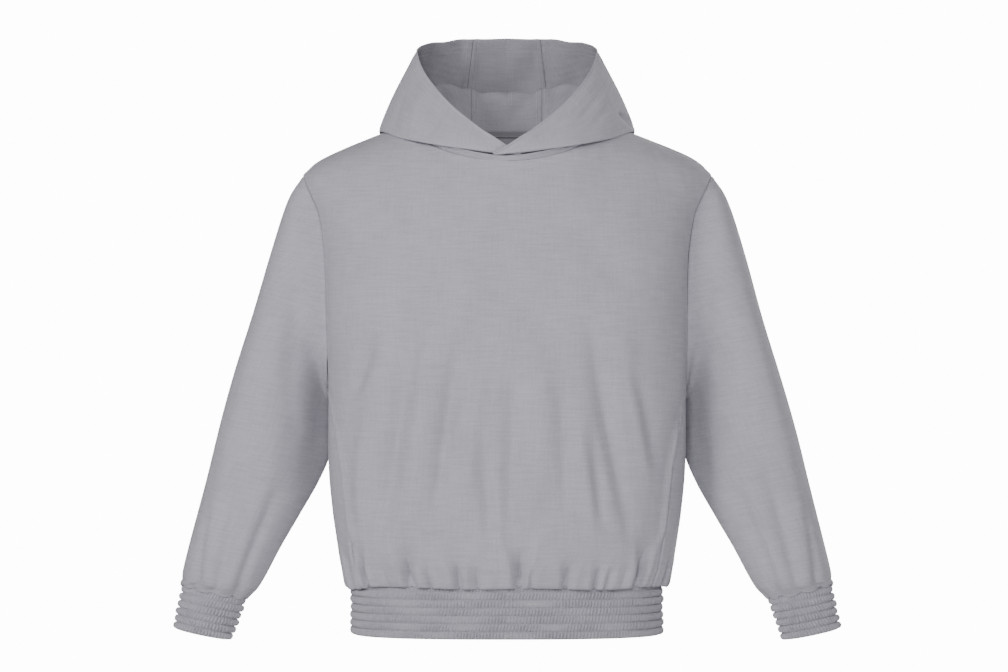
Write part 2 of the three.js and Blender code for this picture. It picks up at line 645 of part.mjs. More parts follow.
// A shirred tube: ringPoint gives its middle surface at a share round it and a share down it.
function bandGeometry(columns, rows, ringPoint) {
  const middle = (down) => ringPoint(0.25, down).add(ringPoint(0.75, down)).multiplyScalar(0.5);
  const axis = middle(1).sub(middle(0)).normalize();
  const build = (list, outAt) => {
    const at = (i, j) => ringPoint(j / columns, list[i].down);
    const sheet = faceAway(makeSheet(list.length, columns, true, at), middle(0.5));
    for (const line of sheet.normals) for (const n of line) n.addScaledVector(axis, -n.dot(axis)).normalize();
    return sheet.points.map((line, i) =>
      line.map((p, j) => p.addScaledVector(sheet.normals[i][j], outAt(list[i], i, j))),
    );
  };
  const pucker = (row, j) => (row.out === BAND_CREST ? PUCKER : PUCKER / 3) * (j % 2 ? 0.5 : -0.5);
  const outer = build(rows, (row, i, j) => row.out + (i ? pucker(row, j) : 0));
  const inner = build([{ down: 0 }, { down: 0.5 }, { down: 1 }], () => -BAND_INSIDE);
  return wallGeometry(outer, inner, true);
}

function hemBand() {
  const top = HEM_SEAM_Z - SEAM_GAP / 2;
  const { side, front, back } = BODY_SECTIONS[BODY_SECTIONS.length - 1];
  const ring = (share, down) => {
    const section = oblong(share * 360);
    const depth = section.ahead > 0 ? front : back;
    return point(side * section.across, RIDGE_Y - depth * section.ahead, mix(top, HEM_EDGE_Z, down));
  };
  const rows = bandRows(top - HEM_EDGE_Z, HEM_HEADER, HEM_CHANNELS);
  return cloth("hem_band", bandGeometry(HEM_COLUMNS, rows, ring), FLEECE);
}

function cuff(name, side) {
  const [top, edge] = CUFF_ENDS;
  const ring = (share, down) =>
    sleeveRing(top, share, side).lerp(sleeveRing(edge, share, side), down);
  const rows = bandRows(ring(0, 0).distanceTo(ring(0, 1)), CUFF_HEADER, CUFF_CHANNELS);
  return cloth(name, bandGeometry(CUFF_COLUMNS, rows, ring), FLEECE);
}

// A flat pocket bag just inside the front panel, sewn into the side seam.
function pocketBag(name, front, side) {
  const [firstRow, lastRow] = BAG_ROWS;
  const at = (i, j) => {
    const column = side > 0 ? 2 * HALF_COLUMNS - j : j;
    const row = firstRow + i;
    const inset = (CLOTH + BAG_CLOTH) / 2 + (j === 0 ? SEAM_GAP : BAG_CLEARANCE);
    return front.points[row][column].clone().addScaledVector(front.normals[row][column], -inset);
  };
  const sheet = makeSheet(lastRow - firstRow + 1, BAG_COLUMNS, false, at);
  return cloth(name, sheetGeometry(sheet, BAG_CLOTH), FLEECE);
}

// A narrow tape that covers the neck seam inside the back.
function neckTape() {
  const angles = range(2 * NECK_COLUMNS - 3).map((k) => (NECK_COLUMNS + 2 + k) * NECK_STEP);
  const inset = (CLOTH + TAPE_CLOTH) / 2 + 0.8;
  const at = (i, j) => {
    const behind = angles[j] <= 180;
    const p = neckPoint(behind ? angles[j] : 360 - angles[j]);
    if (!behind) p.x = -p.x;
    const inwards = point(-p.x, RIDGE_Y - p.y, 0).setLength(inset);
    return p.add(inwards).setZ(p.z + (0.6 - i) * TAPE_HEIGHT);
  };
  const sheet = makeSheet(2, angles.length, false, at);
  return cloth("neck_tape", sheetGeometry(sheet, TAPE_CLOTH), TAPE);
}

function hoodie() {
  const group = new THREE.Group();
  const { panels, sleeves } = bodySheets();
  const { sides, centre } = hoodSheets();
  group.add(cloth("front", sheetGeometry(panels[0], CLOTH), FLEECE));
  group.add(cloth("back", sheetGeometry(panels[1], CLOTH), FLEECE));
  ["left", "right"].forEach((name, k) => {
    const side = k === 0 ? 1 : -1;
    group.add(cloth("sleeve_" + name, sheetGeometry(sleeves[k], CLOTH), FLEECE));
    group.add(cuff("cuff_" + name, side));
    group.add(cloth("hood_side_" + name, sheetGeometry(sides[k], CLOTH), HOOD_LINING));
    group.add(pocketBag("pocket_bag_" + name, panels[0], side));
  });
  group.add(cloth("hood_centre", sheetGeometry(centre, CLOTH), HOOD_LINING));
  group.add(hemBand());
  group.add(neckTape());
  return group;
}

export default hoodie();
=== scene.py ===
"""A pullover hoodie in brushed fleece, filled out as if worn, with its folds and stitching.

Sizes in the tables are millimetres in the frame of the packed part: +Z is up, the front faces
-Y and +X is the wearer's left. Each piece is a thin shell on the form of its own solid.
"""

import math

import bpy
import numpy as np
from bpy.props import FloatProperty, FloatVectorProperty, IntProperty, PointerProperty
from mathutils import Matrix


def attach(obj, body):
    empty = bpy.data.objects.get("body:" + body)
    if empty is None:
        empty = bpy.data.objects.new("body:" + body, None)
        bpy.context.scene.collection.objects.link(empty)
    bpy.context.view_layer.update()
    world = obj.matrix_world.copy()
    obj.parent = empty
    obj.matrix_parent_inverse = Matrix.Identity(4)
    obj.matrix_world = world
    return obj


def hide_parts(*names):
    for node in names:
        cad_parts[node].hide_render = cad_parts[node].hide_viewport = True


bl_info = {
    "name": "Pullover Hoodie",
    "version": (1, 0, 0),
    "blender": (4, 5, 0),
    "location": "View3D > Sidebar > Hoodie",
    "description": "Dresses the solids of a pullover hoodie as sewn fleece",
    "category": "Object",
}

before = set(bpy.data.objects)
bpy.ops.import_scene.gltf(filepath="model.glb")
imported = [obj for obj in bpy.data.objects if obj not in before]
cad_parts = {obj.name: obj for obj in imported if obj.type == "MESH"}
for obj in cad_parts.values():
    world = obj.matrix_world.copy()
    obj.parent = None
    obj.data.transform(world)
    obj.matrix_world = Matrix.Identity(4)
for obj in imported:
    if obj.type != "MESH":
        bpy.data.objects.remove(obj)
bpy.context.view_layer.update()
MM = 0.001


def table(columns, rows):
    """A table of numbers with named columns."""
    return dict(zip(columns.split(), np.array(rows, float).T))


# The form of the garment

BOXINESS = 2.6  # exponent of the rounded oblong that each body section is
RIDGE_Y = 5  # the shoulder seams run a little behind the neck's middle
CHEST_Z = -160  # the shoulders have rounded over into the chest here
UNDERARM_Z = -335
SHOULDER_HALF_WIDTH = 274
NECK_HALF_WIDTH = 125
NECK_SIDE_Z = 26
NECK_FRONT_DROP = 57
NECK_BACK_DROP = 15
HEM_SEAM_Z = -590  # the body joins the hem band
HEM_EDGE_Z = -661
OVERHANG_Z = -572  # the body starts to roll over the hem band here
NECK_COLUMNS = 8  # a half panel is this many columns wide at the neck
SHOULDER_COLUMNS = 7  # and this many along the shoulder
HALF_COLUMNS = NECK_COLUMNS + SHOULDER_COLUMNS
NECK_STEP = 90 / NECK_COLUMNS  # degrees round the neck

BODY_SECTIONS = table(
    "z side front back",
    [
        (-48, 274, 122, 100),
        (-63, 267.5, 123, 101),
        (-76, 261, 124, 102),
        (-98, 251, 125, 103),
        (-125, 245.5, 127, 104),
        (-161, 241.5, 130, 106),
        (-230, 240, 136, 109),
        (-335, 239.5, 140, 111),
        (-437, 239, 138, 111),
        (-497, 233.5, 133, 110),
        (-532, 228, 129, 109),
        (-562, 221.4, 124, 107),
        (-579, 217, 118, 104),
        (-585, 213, 113, 101),
        (-590, 206.3, 106, 97),
    ],
)
SHOULDER_LINE = table(
    "x z", [(0, 76), (125, 26), (173, 6.7), (222, -13), (246, -24), (262, -35), (274, -48)]
)
# Half the angle that the front panel covers: the pockets open in the side seams
SIDE_SEAM = table(
    "z half",
    [
        (-48, 75),
        (-230, 75),
        (-290, 79),
        (-335, 89),
        (-343, 78),
        (-356, 70),
        (-378, 65),
        (-408, 61.5),
        (-445, 58.5),
        (-590, 58),
    ],
)
# Gathers above the hem band: angle round the body, depth, height and half width of the valley
GATHERS = table(
    "at depth reach width",
    [
        (-66, 6.5, 46, 1.4),
        (-54.5, 8.0, 60, 1.1),
        (-43, 1.2, 22, 1.0),
        (-34, 8.5, 95, 1.3),
        (-27, 3.6, 28, 0.8),
        (-16.8, 5.4, 42, 1.0),
        (-10.5, 3.6, 30, 1.3),
        (-3, 1.0, 20, 1.0),
        (4.4, 8.5, 84, 1.2),
        (8.4, 3.2, 26, 0.9),
        (20.6, 5.4, 36, 1.1),
        (31, 4.0, 34, 1.0),
        (35, 2.6, 24, 0.9),
        (41, 1.0, 20, 1.0),
        (48.6, 9.0, 80, 1.4),
        (69, 4.0, 46, 1.7),
        (79, 2.5, 30, 1.4),
        (90, 4.5, 35, 2.0),
        (108, 6.5, 60, 2.0),
        (122, 3.0, 30, 1.6),
        (135, 8.0, 88, 2.0),
        (147, 2.6, 28, 1.4),
        (160, 6.0, 60, 1.8),
        (173, 3.5, 34, 1.4),
        (186, 8.0, 92, 1.8),
        (199, 2.4, 26, 1.3),
        (212, 6.5, 62, 1.8),
        (226, 3.0, 34, 1.4),
        (240, 6.0, 54, 1.8),
        (262, 4.5, 40, 1.8),
        (282, 5.0, 45, 1.8),
    ],
)
# Long soft folds of the front and the back, each through three places: its half width and rise
FRONT_FOLDS = table(
    "x1 z1 x2 z2 x3 z3 width rise",
    [
        (-112, -190, -142, -369, -164, -545, 14, -10.9),
        (-98, -250, -116, -380, -122, -520, 15, 5.8),
        (-56, -255, -78, -369, -93, -500, 11, -10.0),
        (-38, -300, -48, -400, -58, -500, 12, 5.1),
        (9, -300, 6, -430, 2, -548, 12, -7.4),
        (38, -260, 44, -380, 40, -490, 17, 4.1),
        (66, -300, 74, -400, 76, -500, 10, -4.2),
        (107, -225, 138, -407, 167, -545, 12, -8.8),
        (90, -330, 104, -430, 112, -540, 11, 4.8),
        (106, -380, 115, -440, 124, -510, 9, -5.4),
        (160, -290, 182, -369, 193, -440, 10, -6.1),
        (144, -240, 168, -340, 186, -480, 12, 4.8),
        (-178, -255, -191, -305, -206, -350, 10, -7.5),
        (-176, -330, -190, -420, -196, -520, 10, 5.8),
        (-30, -400, -26, -470, -22, -545, 9, -5.8),
        (60, -95, 110, -140, 150, -215, 27, -2.8),
        (-150, -120, -120, -170, -96, -240, 25, -3.3),
    ],
)
BACK_FOLDS = table(
    "x1 z1 x2 z2 x3 z3 width rise",
    [
        (-70, -180, -104, -360, -128, -560, 15, -10.4),
        (-34, -260, -52, -400, -60, -540, 13, 6.4),
        (4, -230, -6, -400, -14, -560, 14, -8.1),
        (48, -300, 58, -420, 62, -540, 13, 5.4),
        (82, -200, 110, -380, 134, -560, 14, -8.8),
        (150, -300, 172, -420, 182, -540, 12, -6.1),
        (-150, -280, -170, -400, -184, -530, 13, -8.0),
        (-120, -90, -60, -125, 0, -135, 24, -4.0),
        (120, -85, 64, -118, 6, -130, 24, -3.4),
    ],
)
# The sleeve to the cuff seam: its outer and inner edge seen from the front, half its depth,
# its middle's Y, and how much thinner its inner half is
SLEEVE_SECTIONS = table(
    "outer_x outer_z inner_x inner_z depth y pinch",
    [
        (295, -81, 239, -351, 54, 9, 0.5),
        (319, -153, 238.6, -362, 61, 12, 0.75),
        (344, -240, 238.2, -388, 65, 14, 0.72),
        (367, -316, 238.6, -420, 65, 13, 0.6),
        (388, -390, 254, -459, 63, 9, 0.3),
        (406, -462, 278, -502, 59, 4, 0.15),
        (421, -522, 303, -545, 54, 0, 0.08),
        (432, -568, 323, -583, 49, -4, 0),
        (435, -586, 336, -604, 42, -6, 0),
        (432, -594.4, 350, -611.6, 27, -7, 0),
    ],
)
SLEEVE_FOLDS = table(
    "top foot start end width rise",
    [
        (70, 104, 0.6, 4.8, 15, -3.5),
        (38, 52, 2, 8.0, 14, 2.5),
        (74, 92, 5.2, 9.3, 9, -5.5),
        (40, 62, 6.2, 9.3, 8, -4),
        (112, 124, 5.4, 9.3, 8, -4.5),
        (92, 108, 3.2, 8.0, 12, 3),
        (300, 262, 0.6, 5, 18, -5),
        (318, 296, 4, 9, 16, 3.5),
        (236, 250, 5, 9.5, 14, -4.5),
        (270, 285, 5.6, 9.3, 9, -4),
    ],
)
# Gathers above the cuff: direction round the sleeve, depth, height and half width
SLEEVE_GATHERS = table(
    "at depth reach width",
    [
        (18, 2.5, 1.2, 8),
        (54, 4.5, 1.6, 6),
        (90, 3.5, 2.2, 6),
        (126, 5, 1.8, 7),
        (162, 3.5, 1.2, 8),
        (198, 3, 1.5, 8),
        (234, 4.5, 2, 7),
        (270, 2.5, 1.2, 8),
        (306, 4, 1.8, 7),
        (342, 3, 1.4, 8),
    ],
)
SLEEVE_LEAN = 0.21  # how far the sleeve runs out for each step down
# The hollow of a sleeve's front beside the armhole: its direction, half width in degrees, depth
VALLEY_ANGLE = 144
VALLEY_WIDTH = 22
VALLEY_DEPTH = 9
INNER_WIDTH = 46  # the sleeve's inner edge lies back beside the body: its reach and depth
INNER_DEPTH = 27
CUFF_ENDS = table(
    "outer_x outer_z inner_x inner_z depth y pinch",
    [
        (432.1, -594.9, 350.1, -612.1, 27, -7, 0),
        (444, -653.5, 371.5, -669, 25, -9, 0),
    ],
)
# The hood round the neck, from the front corner to the middle of the back: its outer fold, its
# brim, the bulge between them, and how far the crest and near wall leave a straight line
HOOD_SECTIONS = table(
    "at fold_x fold_y fold_z brim_x brim_y brim_z bulge"
    " crest_x crest_y crest_z near_x near_y near_z",
    [
        (-8, -16.7, -98.5, -25.5, -19, -99.5, -22.5, 0, 0, 0, 0, 0, 0, 0),
        (0, 0.9, -99.5, -23.5, 0, -101.5, -12.6, 0, 0, 0, 0, 0, 0, 0),
        (11.25, 21.4, -101.5, -21.5, 17.5, -99.5, -0.9, 1, 0, 0, 0, 0, 0, 0),
        (22.5, 45.8, -100.5, -18.2, 36.2, -91, 11.5, 2, 0, 0, 1, 0, 0, 1),
        (45, 98, -86, -9.9, 77, -58, 47, 4, 0, 0, 3, 0, 0, 3),
        (67.5, 142.4, -50, 0.5, 108.6, -16, 87.7, 5, 0, 0, 6, 0, 0, 5),
        (90, 170.7, 4, 12.6, 121.1, 22, 121, 3, 0, 0, 5, 0, 0, 4),
        (101.25, 170, 35, 6, 117.2, 45, 130, 7, -5, -2, 24, 0, 0, 8),
        (112.5, 162, 66, -18, 106.5, 62, 135, 14, -9, -3, 50, 0, -2, 16),
        (135, 118, 112, -90, 80.6, 87, 141.2, 33, -2, -2, 94, 1, -4, 44),
        (157.5, 50, 130, -146, 46.1, 100, 144.6, 44, 0, 0, 110, 0, -4, 60),
        (180, 0, 134, -163, 0, 104, 145.2, 48, 0, -3, 114, 0, -7, 66),
    ],
)
HOOD_FRONT = -8  # degrees by which each front corner passes the middle
HOOD_SEAM_ANGLE = 157.5  # the centre panel starts here
WALL_POINT = 0.4  # the bulge, as a share of the way from fold to brim
GROOVE_PLACE = 2.52  # the cloth turns in under its lower fold here
GROOVE_DEPTH = 13
GROOVE_WIDTH = 0.28  # as a share of the way from one line of the hood to the next
# Soft folds of the two flaps and the dimple at one corner, as seen from the front
HOOD_FOLDS = table(
    "x1 z1 x2 z2 x3 z3 width rise",
    [
        (136, 80, 114, 46, 84, 12, 5, -2.2),
        (120, 86, 98, 52, 68, 14, 5, 1.5),
        (148, 62, 130, 36, 106, 6, 6, -2.0),
        (152, 37, 160, 28, 169, 17, 2.8, -15),
        (148, 26, 156, 20, 164, 12, 4, 2.0),
        (-138, 66, -146, 34, -150, 4, 5, -1.8),
        (-112, 82, -120, 42, -128, 2, 7, 1.4),
        (-84, 44, -94, 20, -106, -4, 6, -1.5),
    ],
)
FLAP_LIFT = 4.2  # the wearer's left corner lies over the right one by this much
FLAP_LIFT_END = 34  # degrees from the middle where the two sides lie alike again

HEM_HEADER = 8.5  # ruched cloth above the first row of elastic
CUFF_HEADER = 11
BAND_INSIDE = 1.7  # from a band's middle surface to its plain inside
BAND_GROOVE = -1.0  # to the outside at a row of elastic
BAND_CREST = 2.2  # to the outside between two rows

POCKET_TOP_Z = -372  # the pocket mouth's ends, at a bar tack each
POCKET_FOOT_Z = -539
POCKET_GAPE = 3.2  # how far the mouth's front edge stands off the back one
POCKET_STITCHES = (6.7, 13)  # distances of the topstitching from the seam
TACK_WIDTH = 8
TACK_STITCHES = 10
# The V of double stitching below the neck: x and z of its ends and its point, for each line
NECK_V = (((-31, -35), (-2.5, -72), (32, -38.5)), ((-26, -35), (-2.5, -66.5), (27, -38)))
NECK_STITCHES = (2.4, 6.2)
BRIM_STITCHES = (12, 18.5)
TAB_COLUMNS = (26.0, 31.0)  # stitched lines at the middle of the hood's foot, inside
HOOD_SEAM_STITCHES = (4, 7.6)
BAG_SHARES = (0.02, 0.45)  # the pocket bag's width, as shares of half the front
BAG_TOP_Z = -395
BAG_FOOT_Z = -560
BAG_CLEARANCE = 1.2  # room between the front and its pocket bag
BAG_CLOTH = 2.4  # two layers of pocketing
TAPE_HEIGHT = 9
TAPE_CLOTH = 1.0
TAPE_INSET = 2.7  # from the neck seam to the tape's outside

# Places well inside the pieces, from which their outsides face away
BODY_MIDDLE = np.array([0, 0, -300.0])
SLEEVE_MIDDLE = np.array([320.0, 5, -350])
HEM_MIDDLE = np.array([0, 0, -625.0])
CUFF_MIDDLE = np.array([400.0, -8, -632])
HOOD_MIDDLE = np.array([0, 30.0, 0])

# How finely the cloth is made: columns round each piece, and rows in each channel of a band
PANEL_COLUMNS = 381
SLEEVE_COLUMNS = 160
HOOD_SIDE_COLUMNS = 141
HOOD_CENTRE_COLUMNS = 61
HEM_COLUMNS = 1440
CUFF_COLUMNS = 320
HEM_CHANNEL_ROWS = 8
CUFF_CHANNEL_ROWS = 9

# A stitch: each ring's place along it, width and height, as shares of the stitch and its radius
THREAD_RINGS = ((-0.5, 0.35, -0.3), (-0.25, 1.0, 0.35), (0.25, 1.0, 0.35), (0.5, 0.35, -0.3))
THREAD_SIDES = 4

FLOOR_Z = -1.45  # metres: where a wearer of middling height would stand
FLOOR_HALF = 3.6
CAMERA_PLACE = (-0.004, -4.5, -0.2626)
CAMERA_LENS = 119.9


# Curves and surfaces


def mix(a, b, share):
    return a + (b - a) * share


def smooth(low, high, x):
    """0 below low, 1 above high, and a soft step between them."""
    t = np.clip((x - low) / (high - low), 0, 1)
    return t * t * (3 - 2 * t)


def hump(x, width):
    """A soft bump of height 1 round 0."""
    return np.exp(-((x / width) ** 2))


def turn(angle, centre):
    """The difference between two directions round a section, from -180 to 180."""
    return (angle - centre + 180) % 360 - 180


def hermite(start, end, start_slope, end_slope, t):
    """A smooth step from start to end, each slope given for the whole step."""
    bend = t * t * (3 - 2 * t)
    return start + (end - start) * bend + start_slope * t * (1 - t) ** 2 - end_slope * t * t * (1 - t)


def read(rows, key, column, values):
    """One column of a table, on a smooth curve through its rows."""
    keys, heights = rows[key], rows[column]
    if keys[0] > keys[-1]:
        keys, heights = keys[::-1], heights[::-1]
    index = np.arange(len(keys))
    low = np.maximum(index - 1, 0)
    high = np.minimum(index + 1, len(keys) - 1)
    slopes = (heights[high] - heights[low]) / (keys[high] - keys[low])
    x = np.clip(values, keys[0], keys[-1])
    i = np.clip(np.searchsorted(keys, x, side="right") - 1, 0, len(keys) - 2)
    span = keys[i + 1] - keys[i]
    t = (x - keys[i]) / span
    return hermite(heights[i], heights[i + 1], slopes[i] * span, slopes[i + 1] * span, t)


def curve_at(stations, place):
    """A smooth curve through stations, each a grid of points, at a place counted from the first."""
    stations = np.stack(stations)
    last = len(stations) - 1
    place = np.broadcast_to(place, stations.shape[1:-1])
    i = np.minimum(place.astype(int), last - 1)

    def pick(k):
        return np.take_along_axis(stations, k[None, ..., None], axis=0)[0]

    def slope(k):
        low = np.maximum(k - 1, 0)
        high = np.minimum(k + 1, last)
        return (pick(high) - pick(low)) / (high - low)[..., None]

    return hermite(pick(i), pick(i + 1), slope(i), slope(i + 1), (place - i)[..., None])


def point(x, y, z):
    return np.stack(np.broadcast_arrays(x, y, z), axis=-1).astype(float)


def unit(vectors):
    return vectors / np.maximum(np.linalg.norm(vectors, axis=-1, keepdims=True), 1e-9)


def shoulder_z(x):
    return read(SHOULDER_LINE, "x", "z", np.abs(x))


def oblong(angle):
    """The rounded oblong of half width and half depth 1: 0 is the front, 90 the +X side."""
    across = np.sin(np.radians(angle))
    ahead = np.cos(np.radians(angle))
    reach = (np.abs(across) ** BOXINESS + np.abs(ahead) ** BOXINESS) ** (-1 / BOXINESS)
    return across * reach, ahead * reach


def fold_relief(folds, angle, place):
    """How far a row of long folds lifts the cloth."""
    out = np.zeros(np.broadcast(angle, place).shape)
    for top, foot, start, end, width, rise in zip(*folds.values()):
        along = np.clip((place - start) / (end - start), 0, 1)
        across = turn(angle, mix(top, foot, along))
        out += rise * hump(across, width) * np.sin(math.pi * along) ** 0.7
    return out


def gather_relief(angle, height):
    """How far the gathers draw the cloth in above the hem band."""
    out = np.zeros(np.broadcast(angle, height).shape)
    for at, depth, reach, width in zip(*GATHERS.values()):
        across = turn(angle, at)
        rise = np.maximum(height - 12, 0)
        close = smooth(-6, 4, height) * (1 - smooth(0, 1, rise / reach))
        sharp = np.exp(-np.abs(across) / (0.8 * width + rise / 30)) * (1 - smooth(0, 0.6, rise / reach))
        soft = hump(across, 1.9 * width + rise / 24)
        flank = hump(np.abs(across) - 2.4 * width - rise / 16, 1.5 * width)
        out -= depth * (1.35 * sharp + 0.65 * soft - 0.35 * flank) * close
    return out + 1.6 * smooth(-6, 8, height) * (1 - smooth(20, 75, height))


def line_relief(folds, x, z):
    """How far long folds, each a bent line down a panel, lift the cloth."""
    out = np.zeros(np.broadcast(x, z).shape)
    for x1, z1, x2, z2, x3, z3, width, rise in zip(*folds.values()):
        along = np.clip((z - z1) / (z3 - z1), 0, 1)
        bend = (z2 - z1) / (z3 - z1)
        middle = (x2 - mix(x1, x3, bend)) / (bend * (1 - bend))
        across = x - mix(x1, x3, along) - middle * along * (1 - along)
        spread = width * (1.25 - 0.35 * along)
        out += rise * hump(across, spread) * np.sin(math.pi * along) ** 0.8
    return out


def panel_top(column, facing):
    """A panel's top edge: the neck for its middle columns, the shoulder seam beyond them."""
    reach = np.abs(column)
    around = np.radians(column * NECK_STEP)
    drop = NECK_FRONT_DROP if facing < 0 else NECK_BACK_DROP
    share = np.clip((reach - NECK_COLUMNS) / SHOULDER_COLUMNS, 0, 1)
    shoulder_x = np.sign(column) * mix(NECK_HALF_WIDTH, SHOULDER_HALF_WIDTH, share)
    on_neck = reach <= NECK_COLUMNS
    x = np.where(on_neck, NECK_HALF_WIDTH * np.sin(around), shoulder_x)
    z = np.where(on_neck, NECK_SIDE_Z - drop * np.cos(around), shoulder_z(shoulder_x))
    return x, z


def yoke_point(column, down, facing):
    """A panel above the underarms: column from -15 to 15, down from 0 to 1 at the underarm."""
    sunk = (1 - np.cos(math.pi * down)) / 2
    top_x, top_z = panel_top(column, facing)
    z = mix(top_z, UNDERARM_Z, sunk)
    edge_z = mix(SHOULDER_LINE["z"][-1], UNDERARM_Z, sunk)
    half = read(SIDE_SEAM, "z", "half", edge_z)
    across = column / HALF_COLUMNS
    section_x, section_y = oblong(across * half)
    edge_x = oblong(half)[0]
    share = mix(top_x / SHOULDER_HALF_WIDTH, section_x / edge_x, smooth(0, 0.8, down))
    even_y = np.clip(1 - np.abs(share * edge_x) ** BOXINESS, 0, 1) ** (1 / BOXINESS)
    section_y = mix(section_y, even_y, smooth(0, 0.15, down))
    x = share * read(BODY_SECTIONS, "z", "side", edge_z)
    ridge = shoulder_z(x)
    fall = np.clip((ridge - z) / (ridge - CHEST_Z), 0, 1)
    rounded = np.sqrt(1 - (1 - fall) ** 2)
    depth = read(BODY_SECTIONS, "z", "front" if facing < 0 else "back", z) * section_y
    return point(x, RIDGE_Y + facing * depth * rounded, z)


def skirt_frame(angle, z):
    """The body below the underarms without its folds, and the direction outwards."""
    section_x, section_y = oblong(angle)
    side = read(BODY_SECTIONS, "z", "side", z)
    front = read(BODY_SECTIONS, "z", "front", z)
    back = read(BODY_SECTIONS, "z", "back", z)
    depth = np.where(section_y > 0, front, back)
    out = unit(point(section_x / side, -section_y / depth, 0))
    return point(side * section_x, RIDGE_Y - depth * section_y, z), out


def skirt_point(angle, z):
    base, out = skirt_frame(angle, z)
    return base + out * gather_relief(angle, z - HEM_SEAM_Z)[..., None]


def neck_point(angle):
    """The neck seam: 0 in front, 90 at the +X shoulder, 180 behind."""
    angle = np.asarray(angle, float)
    in_front = yoke_point(angle / NECK_STEP, np.zeros_like(angle), -1)
    behind = yoke_point((180 - angle) / NECK_STEP, np.zeros_like(angle), 1)
    return np.where((angle <= 90)[..., None], in_front, behind)


def armhole_point(share, side):
    """The armhole: 0 at the shoulder, down the front to 0.5 at the underarm, up the back."""
    column = np.full_like(share, side * HALF_COLUMNS)
    in_front = yoke_point(column, np.clip(share * 2, 0, 1), -1)
    behind = yoke_point(column, np.clip((1 - share) * 2, 0, 1), 1)
    return np.where((share <= 0.5)[..., None], in_front, behind)


def tilted_ring(sections, row, share, side):
    """One ring of a sleeve or cuff, from its outer edge round the front."""
    outer_x, outer_z, inner_x, inner_z, depth, y, pinch = (sections[name][row] for name in sections)
    angle = share * 2 * math.pi
    outwards = np.cos(angle) / 2
    thin = 1 - pinch * (0.5 - outwards)
    x = side * ((outer_x + inner_x) / 2 + (outer_x - inner_x) * outwards)
    z = (outer_z + inner_z) / 2 + (outer_z - inner_z) * outwards
    return point(x, y - depth * np.sin(angle) * thin, z)


def sleeve_rings(share, side):
    rings = [armhole_point(share, side)]
    for row in range(len(SLEEVE_SECTIONS["y"])):
        rings.append(tilted_ring(SLEEVE_SECTIONS, row, share, side))
    return rings


def hood_vector(name, angle):
    return point(*(read(HOOD_SECTIONS, "at", f"{name}_{axis}", angle) for axis in "xyz"))


def hood_point(angle, place, side):
    """One half of the hood: place runs from 0 at the neck seam to 5 at the brim."""
    if side > 0:
        angle = angle - HOOD_FRONT * (1 - smooth(2.2, 3, place)) * (1 - smooth(HOOD_FRONT, 12, angle))
    sideways = np.sin(np.radians(angle)) ** 2
    seam = neck_point(angle)
    ahead = 1 - smooth(70, 110, angle)
    seam[..., 2] += 1.6 * sideways * smooth(0, 40, angle) + mix(0.6, -1.2, ahead)
    seam += point(np.sin(np.radians(angle)), -np.cos(np.radians(angle)), 0) * (1.1 * ahead)[..., None]
    fold = hood_vector("fold", angle)
    brim = hood_vector("brim", angle)
    crest = mix(seam, fold, 1 / 3) + hood_vector("crest", angle)
    lumps = 2.6 * hump(angle - HOOD_SEAM_ANGLE, 5) + 1.3 * wobble(71, angle / 8)
    crest[..., 2] += lumps * smooth(100, 125, angle) * (1 - smooth(172, 180, angle))
    near = mix(seam, fold, 2 / 3) + hood_vector("near", angle)
    round_out = point(np.sin(np.radians(angle)), -np.cos(np.radians(angle)), 0)
    wall = mix(fold, brim, WALL_POINT)
    wall += round_out * read(HOOD_SECTIONS, "at", "bulge", angle)[..., None]
    p = curve_at([seam, crest, near, fold, wall, brim], place)
    groove = hump(place - GROOVE_PLACE, GROOVE_WIDTH) * GROOVE_DEPTH * (1 - smooth(75, 100, angle))
    p -= round_out * groove[..., None]
    if side > 0:
        over = (1 - smooth(HOOD_FRONT, FLAP_LIFT_END, angle)) * mix(0.45, 1, smooth(1.6, 2.8, place))
        p[..., 1] -= FLAP_LIFT * over
    p[..., 0] *= side
    return p


# Grids of cloth


def graded(count, length, fine):
    """Shares from 0 to 1, with extra close ones within a few millimetres of both ends."""
    close = np.array([0, 0.7, 1.5, 2.5, 3.8, 5.2, 7]) * fine / length
    middle = np.linspace(close[-1], 1 - close[-1], count - 2 * (len(close) - 1))
    return np.concatenate([close[:-1], middle, 1 - close[-2::-1]])


def grid(down, along):
    """Two grids of values from one list down the cloth and one along it."""
    return np.meshgrid(np.asarray(down, float), np.asarray(along, float), indexing="ij")


def directions(points, closed=False, away_from=None, at=None):
    """The direction across the cloth at each point of a grid, pointing away from a place."""
    down = np.gradient(points, axis=0)
    if closed:
        along = (np.roll(points, -1, axis=1) - np.roll(points, 1, axis=1)) / 2
    else:
        along = np.gradient(points, axis=1)
    out = unit(np.cross(down, along))
    i, j = at or (points.shape[0] // 2, points.shape[1] // 2)
    if away_from is not None and (points[i, j] - away_from) @ out[i, j] < 0:
        out = -out
    return out


def lengths(points, axis):
    """The distance walked over the cloth from the first row or column, at each point."""
    steps = np.linalg.norm(np.diff(points, axis=axis), axis=-1)
    start = np.zeros_like(np.take(steps, [0], axis=axis))
    return np.concatenate([start, np.cumsum(steps, axis=axis)], axis=axis)


def from_end(walked, axis):
    """The same distance, from the last row or column."""
    return np.take(walked, [-1], axis=axis) - walked


def seam_relief(distance):
    """A seam's dip, the ridge of its turned edges beside it, and the soft hollow after that."""
    dip = -0.8 * hump(distance, 1.2)
    ridge = 0.45 * hump(distance - 4.0, 2.6)
    hollow = -0.35 * hump(distance - 13, 6)
    return dip + ridge + hollow


def lifted(points, normals, amount):
    return points + normals * np.asarray(amount)[..., None]


